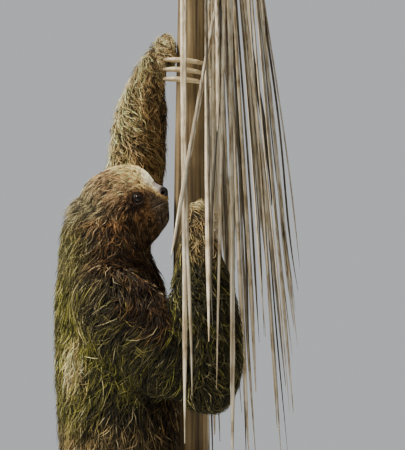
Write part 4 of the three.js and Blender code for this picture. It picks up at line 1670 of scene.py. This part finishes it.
class SLOTH_OT_make_leaflets(bpy.types.Operator):
    """Hang the dry leaflets that grow from the top of the palm stalk"""

    bl_idname = "sloth.make_leaflets"
    bl_label = "Hang leaflets"

    def execute(self, context):
        node = "perch_leaflets"
        settings = context.scene.sloth_perch
        _, stalk_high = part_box("perch_stalk")
        foot = np.array([settings.stalk_middle, 0.0, stalk_high.z]) / MM
        points, joins, *values = leaflet_guides(settings, foot)
        guides = bpy.data.meshes.new("leaflet_guides")
        guides.from_pydata(points.tolist(), joins.tolist(), [])
        for name, value in zip(("width", "turn", "tint"), values):
            set_value(guides, name, value)
        leaflets = add_object("palm_leaflets", guides)
        material = leaflet_material()
        modifier = leaflets.modifiers.new("leaflets", "NODES")
        modifier.node_group = leaflet_tree(material)
        sizes = {"Half width": settings.leaflet_width / 2, "Fold": settings.leaflet_width * 0.3}
        for socket in modifier.node_group.interface.items_tree:
            if socket.name in sizes:
                modifier[socket.identifier] = sizes[socket.name]
        mesh = evaluated_mesh(leaflets)
        leaflets.modifiers.clear()
        leaflets.data = mesh
        closed = bmesh.new()
        closed.from_mesh(mesh)
        add_crown(closed, foot)
        bmesh.ops.recalc_face_normals(closed, faces=closed.faces)
        closed.to_mesh(mesh)
        closed.free()
        finish_piece(leaflets, material, (node,))
        return {"FINISHED"}


class SLOTH_OT_make_stand(bpy.types.Operator):
    """Finish the base, rods and collars of the display stand"""

    bl_idname = "sloth.make_stand"
    bl_label = "Finish stand"

    def execute(self, context):
        finishes = {"base_wood": wood_material(), "rod_steel": steel_material()}
        for name, node in frame["nodes"].items():
            if name.startswith("stand_"):
                node.data.materials.clear()
                node.data.materials.append(finishes[slot_of(name)])
        return {"FINISHED"}


# The floor's radius, the key light's place, aim and size, and the camera's lens and view, whose
# middle lies ahead of the eyes and below them. Metres, but for lens and sensor.
FLOOR_RADIUS = 2.6
KEY_PLACE = Vector((-1.3, -0.5, 2.4))
KEY_AIM = Vector((0.0, 0.0, 0.55))
KEY_SIZE = 1.0
KEY_TINT = (1.0, 0.97, 0.92)
ROOM_TINT = (0.93, 0.96, 0.98, 1)
LENS = 200
SENSOR = 36
VIEW_HEIGHT = 0.5175
VIEW_AHEAD = 0.0692
VIEW_BELOW = 0.0300


class SLOTH_OT_make_stage(bpy.types.Operator):
    """Set up the floor, the soft studio light and the camera"""

    bl_idname = "sloth.make_stage"
    bl_label = "Set up stage"

    def execute(self, context):
        settings = context.scene.sloth_stage
        disc = bmesh.new()
        bmesh.ops.create_circle(disc, cap_ends=True, segments=96, radius=FLOOR_RADIUS)
        floor = add_object("studio_floor", mesh_from(disc, "studio_floor"))
        shader = Shader("studio_floor")
        floor.data.materials.append(shader.done(base_color=(*settings.floor_colour, 1), roughness=0.9))

        world = bpy.data.worlds.new("studio")
        world.use_nodes = True
        background = world.node_tree.nodes["Background"].inputs
        background["Color"].default_value = ROOM_TINT
        background["Strength"].default_value = settings.sky
        context.scene.world = world

        light = bpy.data.lights.new("key", "AREA")
        light.size = KEY_SIZE
        light.energy = settings.key_power
        light.color = KEY_TINT
        lamp = add_object("key", light)
        lamp.location = KEY_PLACE
        lamp.rotation_euler = (KEY_AIM - KEY_PLACE).to_track_quat("-Z", "Y").to_euler()

        lens = bpy.data.cameras.new("camera")
        lens.lens = LENS
        lens.sensor_width = SENSOR
        lens.clip_end = 50
        camera = add_object("camera", lens)
        distance = VIEW_HEIGHT / 2 / (SENSOR / 2 / LENS)
        camera.location = (HEAD.middle[0] + VIEW_AHEAD, -distance, HEAD.middle[2] - VIEW_BELOW)
        camera.rotation_euler = (math.radians(90), 0, 0)
        context.scene.camera = camera
        return {"FINISHED"}


OPERATORS = (
    SLOTH_OT_make_stage,
    SLOTH_OT_make_skin,
    SLOTH_OT_make_coat,
    SLOTH_OT_make_eyes,
    SLOTH_OT_make_claws,
    SLOTH_OT_make_perch,
    SLOTH_OT_make_leaflets,
    SLOTH_OT_make_stand,
)


class SLOTH_PT_panel(bpy.types.Panel):
    """Lists the sloth's pieces and their settings"""

    bl_label = "Sloth"
    bl_idname = "SLOTH_PT_panel"
    bl_space_type = "VIEW_3D"
    bl_region_type = "UI"
    bl_category = "Sloth"

    def draw(self, context):
        for operator in OPERATORS:
            self.layout.operator(operator.bl_idname)
        for name, group in SETTINGS.items():
            box = self.layout.box()
            for prop in group.__annotations__:
                box.prop(getattr(context.scene, name), prop)


CLASSES = (*SETTINGS.values(), *OPERATORS, SLOTH_PT_panel)


def register():
    for cls in CLASSES:
        bpy.utils.register_class(cls)
    for name, group in SETTINGS.items():
        setattr(bpy.types.Scene, name, PointerProperty(type=group))


def unregister():
    for name in SETTINGS:
        delattr(bpy.types.Scene, name)
    for cls in reversed(CLASSES):
        bpy.utils.unregister_class(cls)


def main():
    register()
    for operator in OPERATORS:
        group, name = operator.bl_idname.split(".")
        getattr(getattr(bpy.ops, group), name)()


if __name__ == "__main__":
    main()
